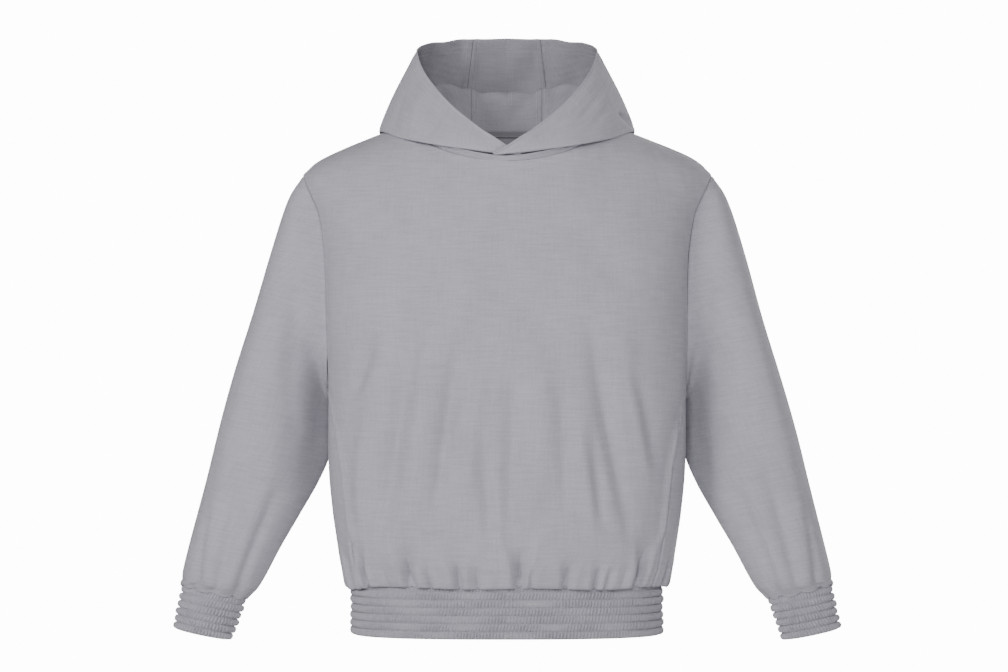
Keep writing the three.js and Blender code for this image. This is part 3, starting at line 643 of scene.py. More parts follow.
def wobble(seed, *coordinates, terms=5):
    """Smooth, uneven waves of height about 1, the same each time for one seed."""
    chance = np.random.default_rng(seed)
    total = 0
    for _ in range(terms):
        phase = chance.uniform(0, 2 * math.pi)
        for c in coordinates:
            phase = phase + c * chance.uniform(0.4, 1.6) * chance.choice([-1, 1])
        total = total + np.sin(phase)
    return total / math.sqrt(terms / 2)


# Meshes


def corner_lists(rows, spans, closed, step):
    """The corners of a wall's faces, as layer, row and column: the fine outside (layer 0), the
    coarser inside (layer 1) and the rims that join their edges."""
    i, j = (a.ravel() for a in np.meshgrid(np.arange(rows - 1), np.arange(spans), indexing="ij"))
    outside = [(0 * i, i, j), (0 * i, i + 1, j), (0 * i, i + 1, j + 1), (0 * i, i, j + 1)]
    inner = np.meshgrid(np.arange(0, rows - 1, step), np.arange(0, spans, step), indexing="ij")
    i, j = (a.ravel() for a in inner)
    one = 0 * i + 1
    inside = [(one, i, j), (one, i, j + step), (one, i + step, j + step), (one, i + step, j)]
    faces = [outside, inside]
    last = rows - 1
    starts = np.arange(0, spans, step)
    zero, ones = 0 * starts, 0 * starts + 1
    along = range(step + 1)
    top = [(zero, zero, starts + k) for k in along]
    top += [(ones, zero, starts + step), (ones, zero, starts)]
    foot = [(zero, zero + last, starts + step - k) for k in along]
    foot += [(ones, zero + last, starts), (ones, zero + last, starts + step)]
    faces += [top, foot]
    if not closed:
        starts = np.arange(0, last, step)
        zero, ones = 0 * starts, 0 * starts + 1
        left = [(zero, starts + step - k, zero) for k in along]
        left += [(ones, starts, zero), (ones, starts + step, zero)]
        right = [(zero, starts + k, zero + spans) for k in along]
        right += [(ones, starts + step, zero + spans), (ones, starts, zero + spans)]
        faces += [left, right]
    return [np.stack([np.stack(corner, axis=-1) for corner in face], axis=1) for face in faces]


def fill_mesh(name, vertices, groups, uvs=None, finishes=None):
    """A mesh from groups of faces, each group an array of vertex numbers with equal corners and,
    where finishes are given, with one of the piece's materials."""
    mesh = bpy.data.meshes.new(name)
    sizes = np.concatenate([np.full(len(g), g.shape[1]) for g in groups])
    loops = np.concatenate([g.ravel() for g in groups]).astype(np.int32)
    mesh.vertices.add(len(vertices))
    mesh.vertices.foreach_set("co", (vertices * MM).astype(np.float32).ravel())
    mesh.loops.add(len(loops))
    mesh.loops.foreach_set("vertex_index", loops)
    mesh.polygons.add(len(sizes))
    starts = np.concatenate([[0], np.cumsum(sizes)[:-1]]).astype(np.int32)
    mesh.polygons.foreach_set("loop_start", starts)
    mesh.polygons.foreach_set("use_smooth", np.ones(len(sizes), bool))
    if finishes is not None:
        chosen = np.concatenate([np.full(len(g), k) for g, k in zip(groups, finishes)])
        mesh.polygons.foreach_set("material_index", chosen.astype(np.int32))
    if uvs is not None:
        layer = mesh.uv_layers.new(name="knit")
        layer.data.foreach_set("uv", uvs.astype(np.float32).ravel())
    mesh.update(calc_edges=True)
    mesh.validate()
    return mesh


def wall_mesh(name, outer, normals, thickness, closed=False, step=2, inner=None, courses=None):
    """A closed wall of cloth on a fine outer grid, with a knit map in metres: across the wales
    it is the distance walked, and along them courses, or else the distance walked down."""
    if (len(outer) - 1) % step:
        raise ValueError(f"{name} has {len(outer)} rows, which the inner layer's steps don't fit")
    rows, columns = outer.shape[:2]
    spans = columns if closed else columns - 1
    if inner is None:
        inner = outer - normals * np.asarray(thickness)[..., None]
    inner = inner[::step, ::step]
    inner_columns = inner.shape[1]
    around = np.concatenate([outer, outer[:, :1]], axis=1) if closed else outer
    u = lengths(around, 1)
    u = u - u[:, u.shape[1] // 2 :][:, :1]
    if courses is None:
        walked = lengths(around, 0)
        courses = np.broadcast_to(-walked[:, [walked.shape[1] // 2]], u.shape)
    elif closed:
        courses = np.concatenate([courses, courses[:, :1]], axis=1)
    groups, uvs = [], []
    for corners in corner_lists(rows, spans, closed, step):
        layer, i, j = corners[..., 0], corners[..., 1], corners[..., 2]
        fine = i * columns + j % columns
        coarse = rows * columns + (i // step) * inner_columns + (j // step) % inner_columns
        groups.append(np.where(layer == 0, fine, coarse))
        uvs.append(np.stack([u[i, j], courses[i, j]], axis=-1).reshape(-1, 2) * MM)
    vertices = np.concatenate([outer.reshape(-1, 3), inner.reshape(-1, 3)])
    uvs = np.concatenate(uvs)
    a, b, c = (vertices[groups[0][:, k]] for k in range(3))
    facing = np.einsum("ij,ij->i", np.cross(b - a, c - a), normals[:-1, :spans].reshape(-1, 3))
    if facing.sum() < 0:
        starts, turned = 0, []
        for g in groups:
            count = g.size
            turned.append(uvs[starts : starts + count].reshape(*g.shape, 2)[:, ::-1].reshape(-1, 2))
            starts += count
        uvs = np.concatenate(turned)
        groups = [g[:, ::-1] for g in groups]
    finishes = [0, 1] + [0] * (len(groups) - 2)
    return fill_mesh(name, vertices, groups, uvs, finishes)


def add_piece(name, mesh, materials, node=None):
    """Places a mesh in the scene as a piece of the garment: materials are outside and inside."""
    for material in materials:
        mesh.materials.append(material)
    piece = bpy.data.objects.new(name, mesh)
    bpy.context.scene.collection.objects.link(piece)
    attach(piece, "root")
    if node:
        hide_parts(node)
    return piece


def sample(cloth, i, j):
    """The point and direction on a grid of cloth at fractional rows and columns."""
    found = []
    for values in cloth:
        rows, columns = values.shape[:2]
        i0 = np.clip(np.floor(i).astype(int), 0, rows - 2)
        j0 = np.clip(np.floor(j).astype(int), 0, columns - 2)
        fi = (i - i0)[:, None]
        fj = (j - j0)[:, None]
        top = mix(values[i0, j0], values[i0, j0 + 1], fj)
        foot = mix(values[i0 + 1, j0], values[i0 + 1, j0 + 1], fj)
        found.append(mix(top, foot, fi))
    return found[0], unit(found[1])


def thread_mesh(name, runs, settings):
    """Short raised stitches along runs, each a line of points with the cloth's directions."""
    spacing = settings.stitch_spacing / MM
    radius = settings.thread / MM / 2
    vertices, groups = [], []
    start = 0
    for line, normals in runs:
        walked = lengths(line[:, None], 0)[:, 0]
        count = max(int(walked[-1] / spacing), 1)
        middles = (np.arange(count) + 0.5) * walked[-1] / count
        centre = np.stack([np.interp(middles, walked, line[:, k]) for k in range(3)], axis=-1)
        up = unit(np.stack([np.interp(middles, walked, normals[:, k]) for k in range(3)], axis=-1))
        ahead = np.stack(
            [np.interp(middles + 0.5, walked, line[:, k]) for k in range(3)], axis=-1
        ) - np.stack([np.interp(middles - 0.5, walked, line[:, k]) for k in range(3)], axis=-1)
        ahead = unit(ahead)
        sideways = unit(np.cross(up, ahead))
        for along, width, height in THREAD_RINGS:
            for k in range(THREAD_SIDES):
                angle = 2 * math.pi * (k + 0.5) / THREAD_SIDES
                vertices.append(
                    centre
                    + ahead * along * spacing * settings.stitch_share
                    + up * (height + math.sin(angle) * width) * radius
                    + sideways * math.cos(angle) * width * radius * 1.3
                )
        n = THREAD_SIDES
        rings = len(THREAD_RINGS)
        base = start + np.arange(count)

        def vertex(ring, k):
            return base + (ring * n + k % n) * count

        for ring in range(rings - 1):
            for k in range(n):
                face = [vertex(ring, k), vertex(ring, k + 1), vertex(ring + 1, k + 1), vertex(ring + 1, k)]
                groups.append(np.stack(face, axis=1))
        groups.append(np.stack([vertex(0, n - 1 - k) for k in range(n)], axis=1))
        groups.append(np.stack([vertex(rings - 1, k) for k in range(n)], axis=1))
        start += count * n * rings
    return fill_mesh(name, np.concatenate(vertices), groups)


def add_stitching(name, runs):
    settings = bpy.context.scene.hoodie_stitching
    mesh = thread_mesh(name, runs, settings)
    return add_piece(name, mesh, [thread_material()])


# Materials


def add_node(tree, kind, settings=None, **inputs):
    """A node with its settings, its inputs given as sockets or as values."""
    node = tree.nodes.new(kind)
    for key, value in (settings or {}).items():
        setattr(node, key, value)
    for key, value in inputs.items():
        socket = node.inputs[int(key[1:]) if key[1:].isdigit() and key[0] == "i" else key]
        if isinstance(value, bpy.types.NodeSocket):
            tree.links.new(value, socket)
        else:
            socket.default_value = value
    return node


def stretched_noise(tree, place, across, along, detail=2.0):
    """Noise on the knit map, with this many grains a metre across and along the wales."""
    mapping = add_node(tree, "ShaderNodeMapping", Vector=place, Scale=(across, along, 1))
    noise = add_node(tree, "ShaderNodeTexNoise", Vector=mapping.outputs[0], Detail=detail, Scale=1.0)
    return noise.outputs["Fac"]


def scaled(tree, value, low, high, out_low, out_high):
    node = add_node(tree, "ShaderNodeMapRange", Value=value)
    for key, number in zip(("From Min", "From Max", "To Min", "To Max"), (low, high, out_low, out_high)):
        node.inputs[key].default_value = number
    return node.outputs[0]


def times(tree, a, b):
    return add_node(tree, "ShaderNodeMath", {"operation": "MULTIPLY"}, i0=a, i1=b).outputs[0]


def plus(tree, a, b):
    return add_node(tree, "ShaderNodeMath", {"operation": "ADD"}, i0=a, i1=b).outputs[0]


def fleece_material(name, colour, settings):
    """Heather fleece jersey: mottled yarn, faint wales and courses, and a soft nap."""
    if name in bpy.data.materials:
        return bpy.data.materials[name]
    material = bpy.data.materials.new(name)
    material.use_nodes = True
    tree = material.node_tree
    shader = tree.nodes["Principled BSDF"]
    place = add_node(tree, "ShaderNodeUVMap", {"uv_map": "knit"}).outputs[0]
    yarn = stretched_noise(tree, place, 620, 520)
    slub = stretched_noise(tree, place, 26, 360)
    column = stretched_noise(tree, place, 330, 26)
    cloud = stretched_noise(tree, place, 17, 11, 3.0)
    shade = scaled(tree, yarn, 0.3, 0.7, 1 - settings.heather, 1 + settings.heather)
    for grain, strength in ((slub, 1.0), (column, 0.55), (cloud, 0.6)):
        most = settings.streak * strength
        shade = times(tree, shade, scaled(tree, grain, 0.35, 0.65, 1 - most, 1 + most))
    base = add_node(
        tree, "ShaderNodeVectorMath", {"operation": "SCALE"}, i0=tuple(colour), Scale=shade
    )
    tree.links.new(base.outputs[0], shader.inputs["Base Color"])
    wales = add_node(tree, "ShaderNodeMapping", Vector=place, Scale=(1 / settings.wale, 0, 0))
    ribs = add_node(
        tree,
        "ShaderNodeTexWave",
        {"wave_type": "BANDS", "bands_direction": "X"},
        Vector=wales.outputs[0],
        Scale=1 / 20 * math.pi * 2,
    )
    nap = stretched_noise(tree, place, 1500, 1100, 3.0)
    height = plus(tree, times(tree, ribs.outputs["Fac"], 0.25), nap)
    height = plus(tree, height, times(tree, slub, 0.5))
    bump = add_node(tree, "ShaderNodeBump", Height=height, Strength=0.6, Distance=settings.nap)
    tree.links.new(bump.outputs[0], shader.inputs["Normal"])
    shader.inputs["Roughness"].default_value = 0.95
    shader.inputs["Specular IOR Level"].default_value = 0.18
    shader.inputs["Sheen Weight"].default_value = 0.12
    shader.inputs["Sheen Roughness"].default_value = 0.6
    return material


def thread_material():
    """Spun polyester thread with its twist."""
    name = "sewing_thread"
    if name in bpy.data.materials:
        return bpy.data.materials[name]
    settings = bpy.context.scene.hoodie_cloth
    material = bpy.data.materials.new(name)
    material.use_nodes = True
    tree = material.node_tree
    shader = tree.nodes["Principled BSDF"]
    place = add_node(tree, "ShaderNodeTexCoord").outputs["Object"]
    grain = add_node(tree, "ShaderNodeTexNoise", Vector=place, Scale=2600.0, Detail=2.0).outputs["Fac"]
    shade = scaled(tree, grain, 0.3, 0.7, 0.9, 1.08)
    base = add_node(
        tree,
        "ShaderNodeVectorMath",
        {"operation": "SCALE"},
        i0=tuple(settings.thread_colour),
        Scale=shade,
    )
    tree.links.new(base.outputs[0], shader.inputs["Base Color"])
    bump = add_node(tree, "ShaderNodeBump", Height=grain, Strength=0.4, Distance=0.0001)
    tree.links.new(bump.outputs[0], shader.inputs["Normal"])
    shader.inputs["Roughness"].default_value = 0.7
    shader.inputs["Specular IOR Level"].default_value = 0.3
    return material


def fleece():
    settings = bpy.context.scene.hoodie_cloth
    return fleece_material("fleece_face", settings.fleece, settings)


# The inside faces of the body and sleeves take the darker inside colour: painted shade inside the garment.
def fleece_back():
    settings = bpy.context.scene.hoodie_cloth
    return fleece_material("fleece_back", settings.inside, settings)


def hood_fleece():
    settings = bpy.context.scene.hoodie_cloth
    return fleece_material("hood_face", settings.hood, settings)


# The hood's inside faces take the darker inside colour: painted shade of the hood's hollow.
def hood_inside():
    settings = bpy.context.scene.hoodie_cloth
    return fleece_material("hood_inside", settings.inside, settings)


# The pieces


def front_rows():
    """Rows of a body panel: the yoke, the skirt below the underarms, and the overhang."""
    even_drop = np.arccos(1 - 2 * np.linspace(0.027, 1, 66)) / math.pi
    yoke = np.concatenate([[0, 0.012, 0.022, 0.033, 0.046, 0.06, 0.08], even_drop])
    close = UNDERARM_Z - np.linspace(0, 24, 21)[1:]
    skirt = np.concatenate([close, np.linspace(close[-1], OVERHANG_Z, 55)[1:]])
    roll = np.linspace(1, 4, 21)[1:]
    return yoke, skirt, roll


def lobe_drop(angle, seed):
    """How far the overhang hangs between its gathers: least at each gather."""
    near = np.zeros_like(angle)
    for at, depth, width in zip(GATHERS["at"], GATHERS["depth"], GATHERS["width"]):
        near = np.maximum(near, np.clip((depth - 1) / 6, 0, 1) * hump(turn(angle, at), width))
    return 2.4 + 1.3 * wobble(seed, angle / 13) - 2.2 * near


def panel_grid(facing, across):
    """The outside of a body panel as a grid, with the body's angle at each point."""
    yoke, skirt, roll = front_rows()
    down, column = grid(yoke, across * HALF_COLUMNS)
    upper = yoke_point(column, down, facing)
    z, share = grid(skirt, across)
    half = read(SIDE_SEAM, "z", "half", z)
    angle = share * half if facing < 0 else 180 - share * (180 - half)
    lower = skirt_point(angle, z)
    place, share = grid(roll, across)
    foot_half = SIDE_SEAM["half"][-1]
    foot_angle = share * foot_half if facing < 0 else 180 - share * (180 - foot_half)
    rolled = overhang(foot_angle, place)
    return np.concatenate([upper, lower, rolled])


def overhang(angle, place):
    """The body's foot: it rolls over the hem band's top edge and back up to the seam."""
    above = skirt_point(angle, np.full_like(angle, OVERHANG_Z + 6))
    start = skirt_point(angle, np.full_like(angle, OVERHANG_Z))
    seam, out = skirt_frame(angle, np.full_like(angle, HEM_SEAM_Z + 0.0))
    drop = lobe_drop(angle, 5)
    relief = gather_relief(angle, np.full_like(angle, 6.0))

    def at(outwards, height):
        p = seam + out * outwards[..., None]
        p[..., 2] = HEM_SEAM_Z + height
        return p

    side = np.abs(np.sin(np.radians(angle)))
    low = drop + 4.0 * smooth(0.72, 0.95, side)
    lip = at(np.maximum(8.2 + 0.25 * drop + relief, 3.4), 2.8 - low)
    under = at(np.maximum(4.0 + 0.2 * drop + 0.4 * relief, 2.8), -1.5 - low)
    seam = at(np.full_like(angle, 0.6), 1.5)
    return curve_at([above, start, lip, under, seam], place)


def build_panel(facing):
    """The front or back panel's outer grid, its directions, and its distances to its edges."""
    across = graded(PANEL_COLUMNS, 560, 1.0) * 2 - 1
    points = panel_grid(facing, across)
    normals = directions(points, away_from=BODY_MIDDLE)
    walked = lengths(points, 1)
    edge = np.minimum(walked, from_end(walked, 1))
    top = lengths(points, 0)
    relief = seam_relief(edge) + seam_relief(top)
    folds = FRONT_FOLDS if facing < 0 else BACK_FOLDS
    relief += line_relief(folds, points[..., 0], points[..., 2]) * smooth(3, 30, edge)
    relief += 0.5 * wobble(11 + facing, points[..., 0] / 60, points[..., 2] / 75)
    height = points[..., 2]
    mouth = smooth(POCKET_FOOT_Z, POCKET_FOOT_Z + 22, height)
    mouth *= 1 - smooth(POCKET_TOP_Z - 26, POCKET_TOP_Z, height)
    relief += mouth * (POCKET_GAPE * hump(edge, 9) if facing < 0 else -2.4 * hump(edge, 6))
    below = 1 - smooth(UNDERARM_Z - 60, UNDERARM_Z - 20, height)
    relief -= 1.1 * hump(edge, 1.8) * below * (1 - mouth)
    points = lifted(points, normals, relief)
    return points, directions(points, away_from=BODY_MIDDLE), walked


def places_at(walked, distance, from_last=False):
    """For each row, the fractional column that lies this far from its first or last one."""
    columns = np.arange(walked.shape[1])
    wanted = walked[:, -1] - distance if from_last else np.full(len(walked), float(distance))
    return np.array([np.interp(reach, row, columns) for reach, row in zip(wanted, walked)])


def pocket_runs(cloth, walked):
    """Double topstitching beside each pocket mouth, and a bar tack at both of its ends."""
    heights = cloth[0][:, 0, 2]
    rows = np.flatnonzero((heights < POCKET_TOP_Z) & (heights > POCKET_FOOT_Z))
    runs = []
    for from_last in (False, True):
        for distance in POCKET_STITCHES:
            runs.append(sample(cloth, rows, places_at(walked, distance, from_last)[rows]))
        for row in (rows[0], rows[-1]):
            for k in range(TACK_STITCHES):
                column = places_at(walked, 0.6 + TACK_WIDTH * k / TACK_STITCHES, from_last)[row]
                runs.append(sample(cloth, np.array([row - 0.4, row + 0.4]), np.array([column, column])))
    return runs


def run_at(cloth, x, z):
    """A run on the cloth at these places as seen from the front."""
    points, normals = cloth
    found = []
    for across, up in zip(x, z):
        gap = (points[..., 0] - across) ** 2 + (points[..., 2] - up) ** 2
        i, j = np.unravel_index(np.argmin(gap), gap.shape)
        out = normals[i, j]
        shift = np.array([across, 0, up]) - points[i, j] * (1, 0, 1)
        shift[1] = -(out @ shift) / out[1]
        found.append((points[i, j] + shift, out))
    return tuple(np.array(part) for part in zip(*found))


def neck_runs(cloth):
    """The V of double stitching below the neck."""
    runs = []
    for left, foot, right in NECK_V:
        for start, end in ((left, foot), (foot, right)):
            shares = np.linspace(0, 1, 24)
            runs.append(run_at(cloth, mix(start[0], end[0], shares), mix(start[1], end[1], shares)))
    return runs


def even(points, normals, step):
    """The grid without the last rows and columns that don't fit the inner layer's steps."""
    rows = (points.shape[0] - 1) // step * step + 1
    columns = (points.shape[1] - 1) // step * step + 1
    return points[:rows, :columns], normals[:rows, :columns]


class HOODIE_OT_body(bpy.types.Operator):
    """Makes the front and back panels with their folds, gathers and topstitching"""

    bl_idname = "hoodie.body"
    bl_label = "Body panels"

    def execute(self, context):
        thickness = context.scene.hoodie_cloth.thickness / MM
        for name, facing in (("front", -1), ("back", 1)):
            points, normals, walked = build_panel(facing)
            mesh = wall_mesh(name + "_panel", points, normals, thickness, courses=points[..., 2])
            piece = add_piece(name + "_panel", mesh, [fleece(), fleece_back()], node=name)
            if facing < 0:
                add_stitching("pocket_stitches", pocket_runs((points, normals), walked))
                add_stitching("neck_stitches", neck_runs((points, normals)))
        return {"FINISHED"}


def sleeve_grid(side):
    """The outside of a sleeve from the armhole to its roll over the cuff."""
    place = np.concatenate([[0, 0.02, 0.045, 0.075, 0.11, 0.16], np.linspace(0.22, 9.1, 125)])
    roll = np.linspace(1, 4, 19)[1:]
    shares = np.arange(SLEEVE_COLUMNS) / SLEEVE_COLUMNS
    down, share = grid(place, shares)
    points = sleeve_point(share, down, side)
    down, share = grid(roll, shares)
    return np.concatenate([points, sleeve_roll(share, down, side)])


def sleeve_point(share, place, side):
    rings = sleeve_rings(share, side)
    opposite = sleeve_rings((share + 0.5) % 1, side)
    p = curve_at(rings, place)
    out = unit(p - curve_at(opposite, place))
    angle = share * 360
    relief = fold_relief(SLEEVE_FOLDS, angle, place) + sleeve_gathers(share, place)
    hollow = hump(turn(angle, VALLEY_ANGLE), VALLEY_WIDTH) * smooth(0.1, 1.2, place)
    hollow *= smooth(0, 18, np.abs(turn(angle, 180)))
    relief -= VALLEY_DEPTH * hollow * (1 - smooth(3.6, 6, place))
    p = p + out * relief[..., None]
    beside = smooth(0.3, 1.3, place) * (1 - smooth(4.2, 6.2, place))
    p[..., 1] += INNER_DEPTH * hump(turn(angle, 180), INNER_WIDTH) * beside
    return p


def sleeve_gathers(share, place):
    out = np.zeros(np.broadcast(share, place).shape)
    for at, depth, reach, width in zip(*SLEEVE_GATHERS.values()):
        across = turn(share * 360, at)
        close = smooth(9.4 - reach, 9.2, place)
        out -= depth * (0.6 * np.exp(-np.abs(across) / width) + 0.5 * hump(across, width * 1.5)) * close
    return out


def cuff_axis(side):
    """The direction down the cuff, square to the sleeve's end."""
    ends = [tilted_ring(CUFF_ENDS, 0, np.array([share]), side)[0] for share in (0, 0.5)]
    lean = (ends[0] - ends[1])[[0, 2]]
    down = np.array([lean[1], 0, -lean[0]]) * side
    return down / np.linalg.norm(down)


def sleeve_roll(share, place, side):
    """The sleeve's foot rolls over the top of the cuff."""
    above = sleeve_point(share, np.full_like(share, 8.95), side)
    start = sleeve_point(share, np.full_like(share, 9.1), side)
    seam = tilted_ring(SLEEVE_SECTIONS, -1, share, side)
    out = unit(seam - tilted_ring(SLEEVE_SECTIONS, -1, (share + 0.5) % 1, side))
    down = cuff_axis(side)
    near = np.zeros_like(share)
    for at in SLEEVE_GATHERS["at"]:
        near = np.maximum(near, hump(turn(share * 360, at), 8))
    drop = 2.2 + 0.8 * wobble(23, share * 9) - 2.8 * near
    relief = sleeve_gathers(share, np.full_like(share, 9.1)) * 0.5
    lip = seam + out * (5.5 + relief)[..., None] + down * (drop - 3)[..., None]
    under = seam + out * (3 + relief)[..., None] + down * (drop + 0.6)[..., None]
    end = seam + out * 0.6 - down * 1.0
    return curve_at([above, start, lip, under, end], place)


class HOODIE_OT_sleeves(bpy.types.Operator):
    """Makes both sleeves with their folds and the gathers above the cuffs"""

    bl_idname = "hoodie.sleeves"
    bl_label = "Sleeves"

    def execute(self, context):
        thickness = context.scene.hoodie_cloth.thickness / MM
        for name, side in (("sleeve_left", 1), ("sleeve_right", -1)):
            points = sleeve_grid(side)
            inside = SLEEVE_MIDDLE * (side, 1, 1)
            normals = directions(points, closed=True, away_from=inside)
            walked = lengths(points, 0)
            relief = -0.8 * hump(walked, 1.3) + 0.35 * hump(walked - 4, 3)
            relief = relief + 0.6 * wobble(31 + side, points[..., 0] / 40, points[..., 2] / 60)
            points = lifted(points, normals, relief)
            normals = directions(points, closed=True, away_from=inside)
            courses = points @ np.array([-side * SLEEVE_LEAN, 0, 1])
            mesh = wall_mesh(name + "_cloth", points, normals, thickness, closed=True, courses=courses)
            piece = add_piece(name + "_cloth", mesh, [fleece(), fleece_back()], node=name)
        return {"FINISHED"}


def band_relief(down, around, length, header, channels, settings, seed):
    """How far a shirred band's outside stands out: channels between rows of elastic, with fine
    uneven puckers that run across each channel."""
    pitch = (length - header) / channels
    walked = down * length
    channel = np.floor((walked - header) / pitch)
    within = np.where(walked < header, walked / header, (walked - header) / pitch - channel)
    swell = np.clip(np.sin(math.pi * np.clip(within, 0, 1)), 0, 1) ** 0.4
    swell = np.where(walked < header, 0.75 * swell, swell)
    height = BAND_GROOVE + (BAND_CREST - BAND_GROOVE) * swell
    chance = np.random.default_rng(seed)
    pucker = np.zeros_like(height)
    for k in range(-1, channels):
        shift, lean = chance.uniform(0, 7), chance.uniform(1.2, 3.2)
        uneven = 1.5 * wobble(seed + 7 * k, around / 34)
        phase = 2 * math.pi * (around + shift * 0.3 + lean * (within - 0.5)) / settings.pucker_pitch * MM
        wave = 1.7 * np.abs(np.sin((phase + uneven) / 2)) ** 0.7 - 1.2
        wave += 0.3 * np.sin(2.3 * phase + 2 * uneven + shift)
        strength = 0.9 + 0.25 * wobble(seed + 31 * k, around / 19)
        pucker = np.where(channel == k, wave * strength, pucker)
    return height + pucker * settings.pucker / MM / 2 * (0.25 + 0.75 * swell)


def build_band(name, ring, length, header, channels, columns, rows_each, seed, node, inside):
    """A shirred tube from a function that gives its middle surface."""
    settings = bpy.context.scene.hoodie_bands
    pitch = (length - header) / channels
    stops = [np.linspace(0, header, 6)[:-1]]
    for k in range(channels):
        stops.append(header + pitch * (k + np.linspace(0, 1, rows_each + 1)[:-1]))
    down = np.concatenate([*stops, [length]]) / length
    while (len(down) - 1) % 4:
        down = np.insert(down, 1, down[1] / 2)
    down, share = grid(down, np.arange(columns) / columns)
    middle = ring(share, down)
    normals = directions(middle, closed=True, away_from=inside)
    around = lengths(middle, 1)
    relief = band_relief(down, around, length, header, channels, settings, seed)
    relief = np.where(down <= 0, -0.4, relief)
    edge = length * (1 - down)
    relief -= 1.6 * np.clip(1 - edge / 1.6, 0, 1) ** 2
    outer = lifted(middle, normals, relief)
    inner = lifted(middle, normals, np.full(relief.shape, -BAND_INSIDE))
    mesh = wall_mesh(
        name, outer, directions(outer, closed=True, away_from=inside), 0, closed=True, step=4, inner=inner
    )
    return add_piece(name, mesh, [shirred_fleece_painted_shade()] * 2, node=node)


# The bands' colour is a darker copy of the fleece: painted shade of their puckers and channels.
def shirred_fleece_painted_shade():
    settings = bpy.context.scene.hoodie_cloth
    return fleece_material("shirred_face", settings.shirred, settings)


class HOODIE_OT_hem_band(bpy.types.Operator):
    """Makes the shirred hem band"""

    bl_idname = "hoodie.hem_band"
    bl_label = "Hem band"

    def execute(self, context):
        side, front, back = (BODY_SECTIONS[key][-1] for key in ("side", "front", "back"))

        def ring(share, down):
            x, y = oblong(share * 360)
            depth = np.where(y > 0, front, back)
            return point(side * x, RIDGE_Y - depth * y, mix(HEM_SEAM_Z, HEM_EDGE_Z, down))

        channels = context.scene.hoodie_bands.hem_channels
        piece = build_band(
            "hem_band_cloth",
            ring,
            HEM_SEAM_Z - HEM_EDGE_Z,
            HEM_HEADER,
            channels,
            HEM_COLUMNS,
            HEM_CHANNEL_ROWS,
            41,
            "hem_band",
            HEM_MIDDLE,
        )
        return {"FINISHED"}


class HOODIE_OT_cuffs(bpy.types.Operator):
    """Makes both shirred cuffs"""

    bl_idname = "hoodie.cuffs"
    bl_label = "Cuffs"

    def execute(self, context):
        channels = context.scene.hoodie_bands.cuff_channels
        for name, side in (("cuff_left", 1), ("cuff_right", -1)):

            def ring(share, down):
                ends = [tilted_ring(CUFF_ENDS, k, share, side) for k in (0, 1)]
                return mix(*ends, down[..., None])

            start, end = (tilted_ring(CUFF_ENDS, k, np.array([0.0]), side)[0] for k in (0, 1))
            piece = build_band(
                name + "_cloth",
                ring,
                float(np.linalg.norm(end - start)),
                CUFF_HEADER,
                channels,
                CUFF_COLUMNS,
                CUFF_CHANNEL_ROWS,
                51 + side,
                name,
                CUFF_MIDDLE * (side, 1, 1),
            )
        return {"FINISHED"}


def hood_place():
    """Rows of the hood, close together at the neck seam, over the folds and at the brim."""
    stops = [0, 0.03, 0.07, 0.12]
    return np.concatenate([stops, np.linspace(0.18, 4.94, 130), [4.955, 4.97, 4.982, 4.992, 5]])


def build_hood(side=None):
    """A side panel of the hood, or the centre panel when no side is given."""
    if side is None:
        turned = np.linspace(HOOD_SEAM_ANGLE, 360 - HOOD_SEAM_ANGLE, HOOD_CENTRE_COLUMNS)
        place, angle = grid(hood_place(), turned)
        left = hood_point(np.minimum(angle, 180), place, 1)
        right = hood_point(np.minimum(360 - angle, 180), place, -1)
        points = np.where((angle <= 180)[..., None], left, right)
        middle = HOOD_CENTRE_COLUMNS // 2
    else:
        shares = graded(HOOD_SIDE_COLUMNS, 330, 1.0)
        place, angle = grid(hood_place(), HOOD_FRONT + shares * (HOOD_SEAM_ANGLE - HOOD_FRONT))
        points = hood_point(angle, place, side)
        middle = 90
    corner = (len(points) - 30, middle)
    normals = directions(points, away_from=HOOD_MIDDLE, at=corner)
    points = lifted(points, normals, hood_relief(points, angle, place, side))
    return points, directions(points, away_from=HOOD_MIDDLE, at=corner), angle, place


def hood_relief(points, angle, place, side):
    """The seams, brim, folds and small wrinkles of the hood."""
    walked = lengths(points, 1)
    seam = from_end(walked, 1)
    if side is None:
        seam = np.minimum(walked, seam)
    down = lengths(points, 0)
    brim = from_end(down, 0)
    relief = -0.8 * hump(seam, 1.2) - 0.5 * hump(seam - 6, 4)
    relief += 0.35 * np.sin(down / 1.3 + 2 * wobble(73, down / 25)) * hump(seam - 6, 5)
    relief += 0.55 * hump(brim - 1.5, 1.4) - 0.45 * hump(brim - 4.2, 1.8)
    relief += 0.3 * np.sin(walked / 1.6 + 2 * wobble(75, walked / 30)) * hump(brim - 15, 5)
    turned = np.minimum(angle, 360 - angle)
    behind = smooth(100, 130, turned) * smooth(3, 14, seam)
    low = smooth(0.1, 0.4, place) * (1 - smooth(1.0, 1.5, place)) * behind
    relief += 2.6 * wobble(77, turned / 5, place * 6) * low
    high = smooth(3.9, 4.3, place) * behind
    relief += 2.2 * wobble(79, turned / 7, place * 9) * high
    ahead = smooth(2.9, 3.2, place) * (1 - smooth(84, 100, angle))
    return relief + line_relief(HOOD_FOLDS, points[..., 0], points[..., 2]) * ahead


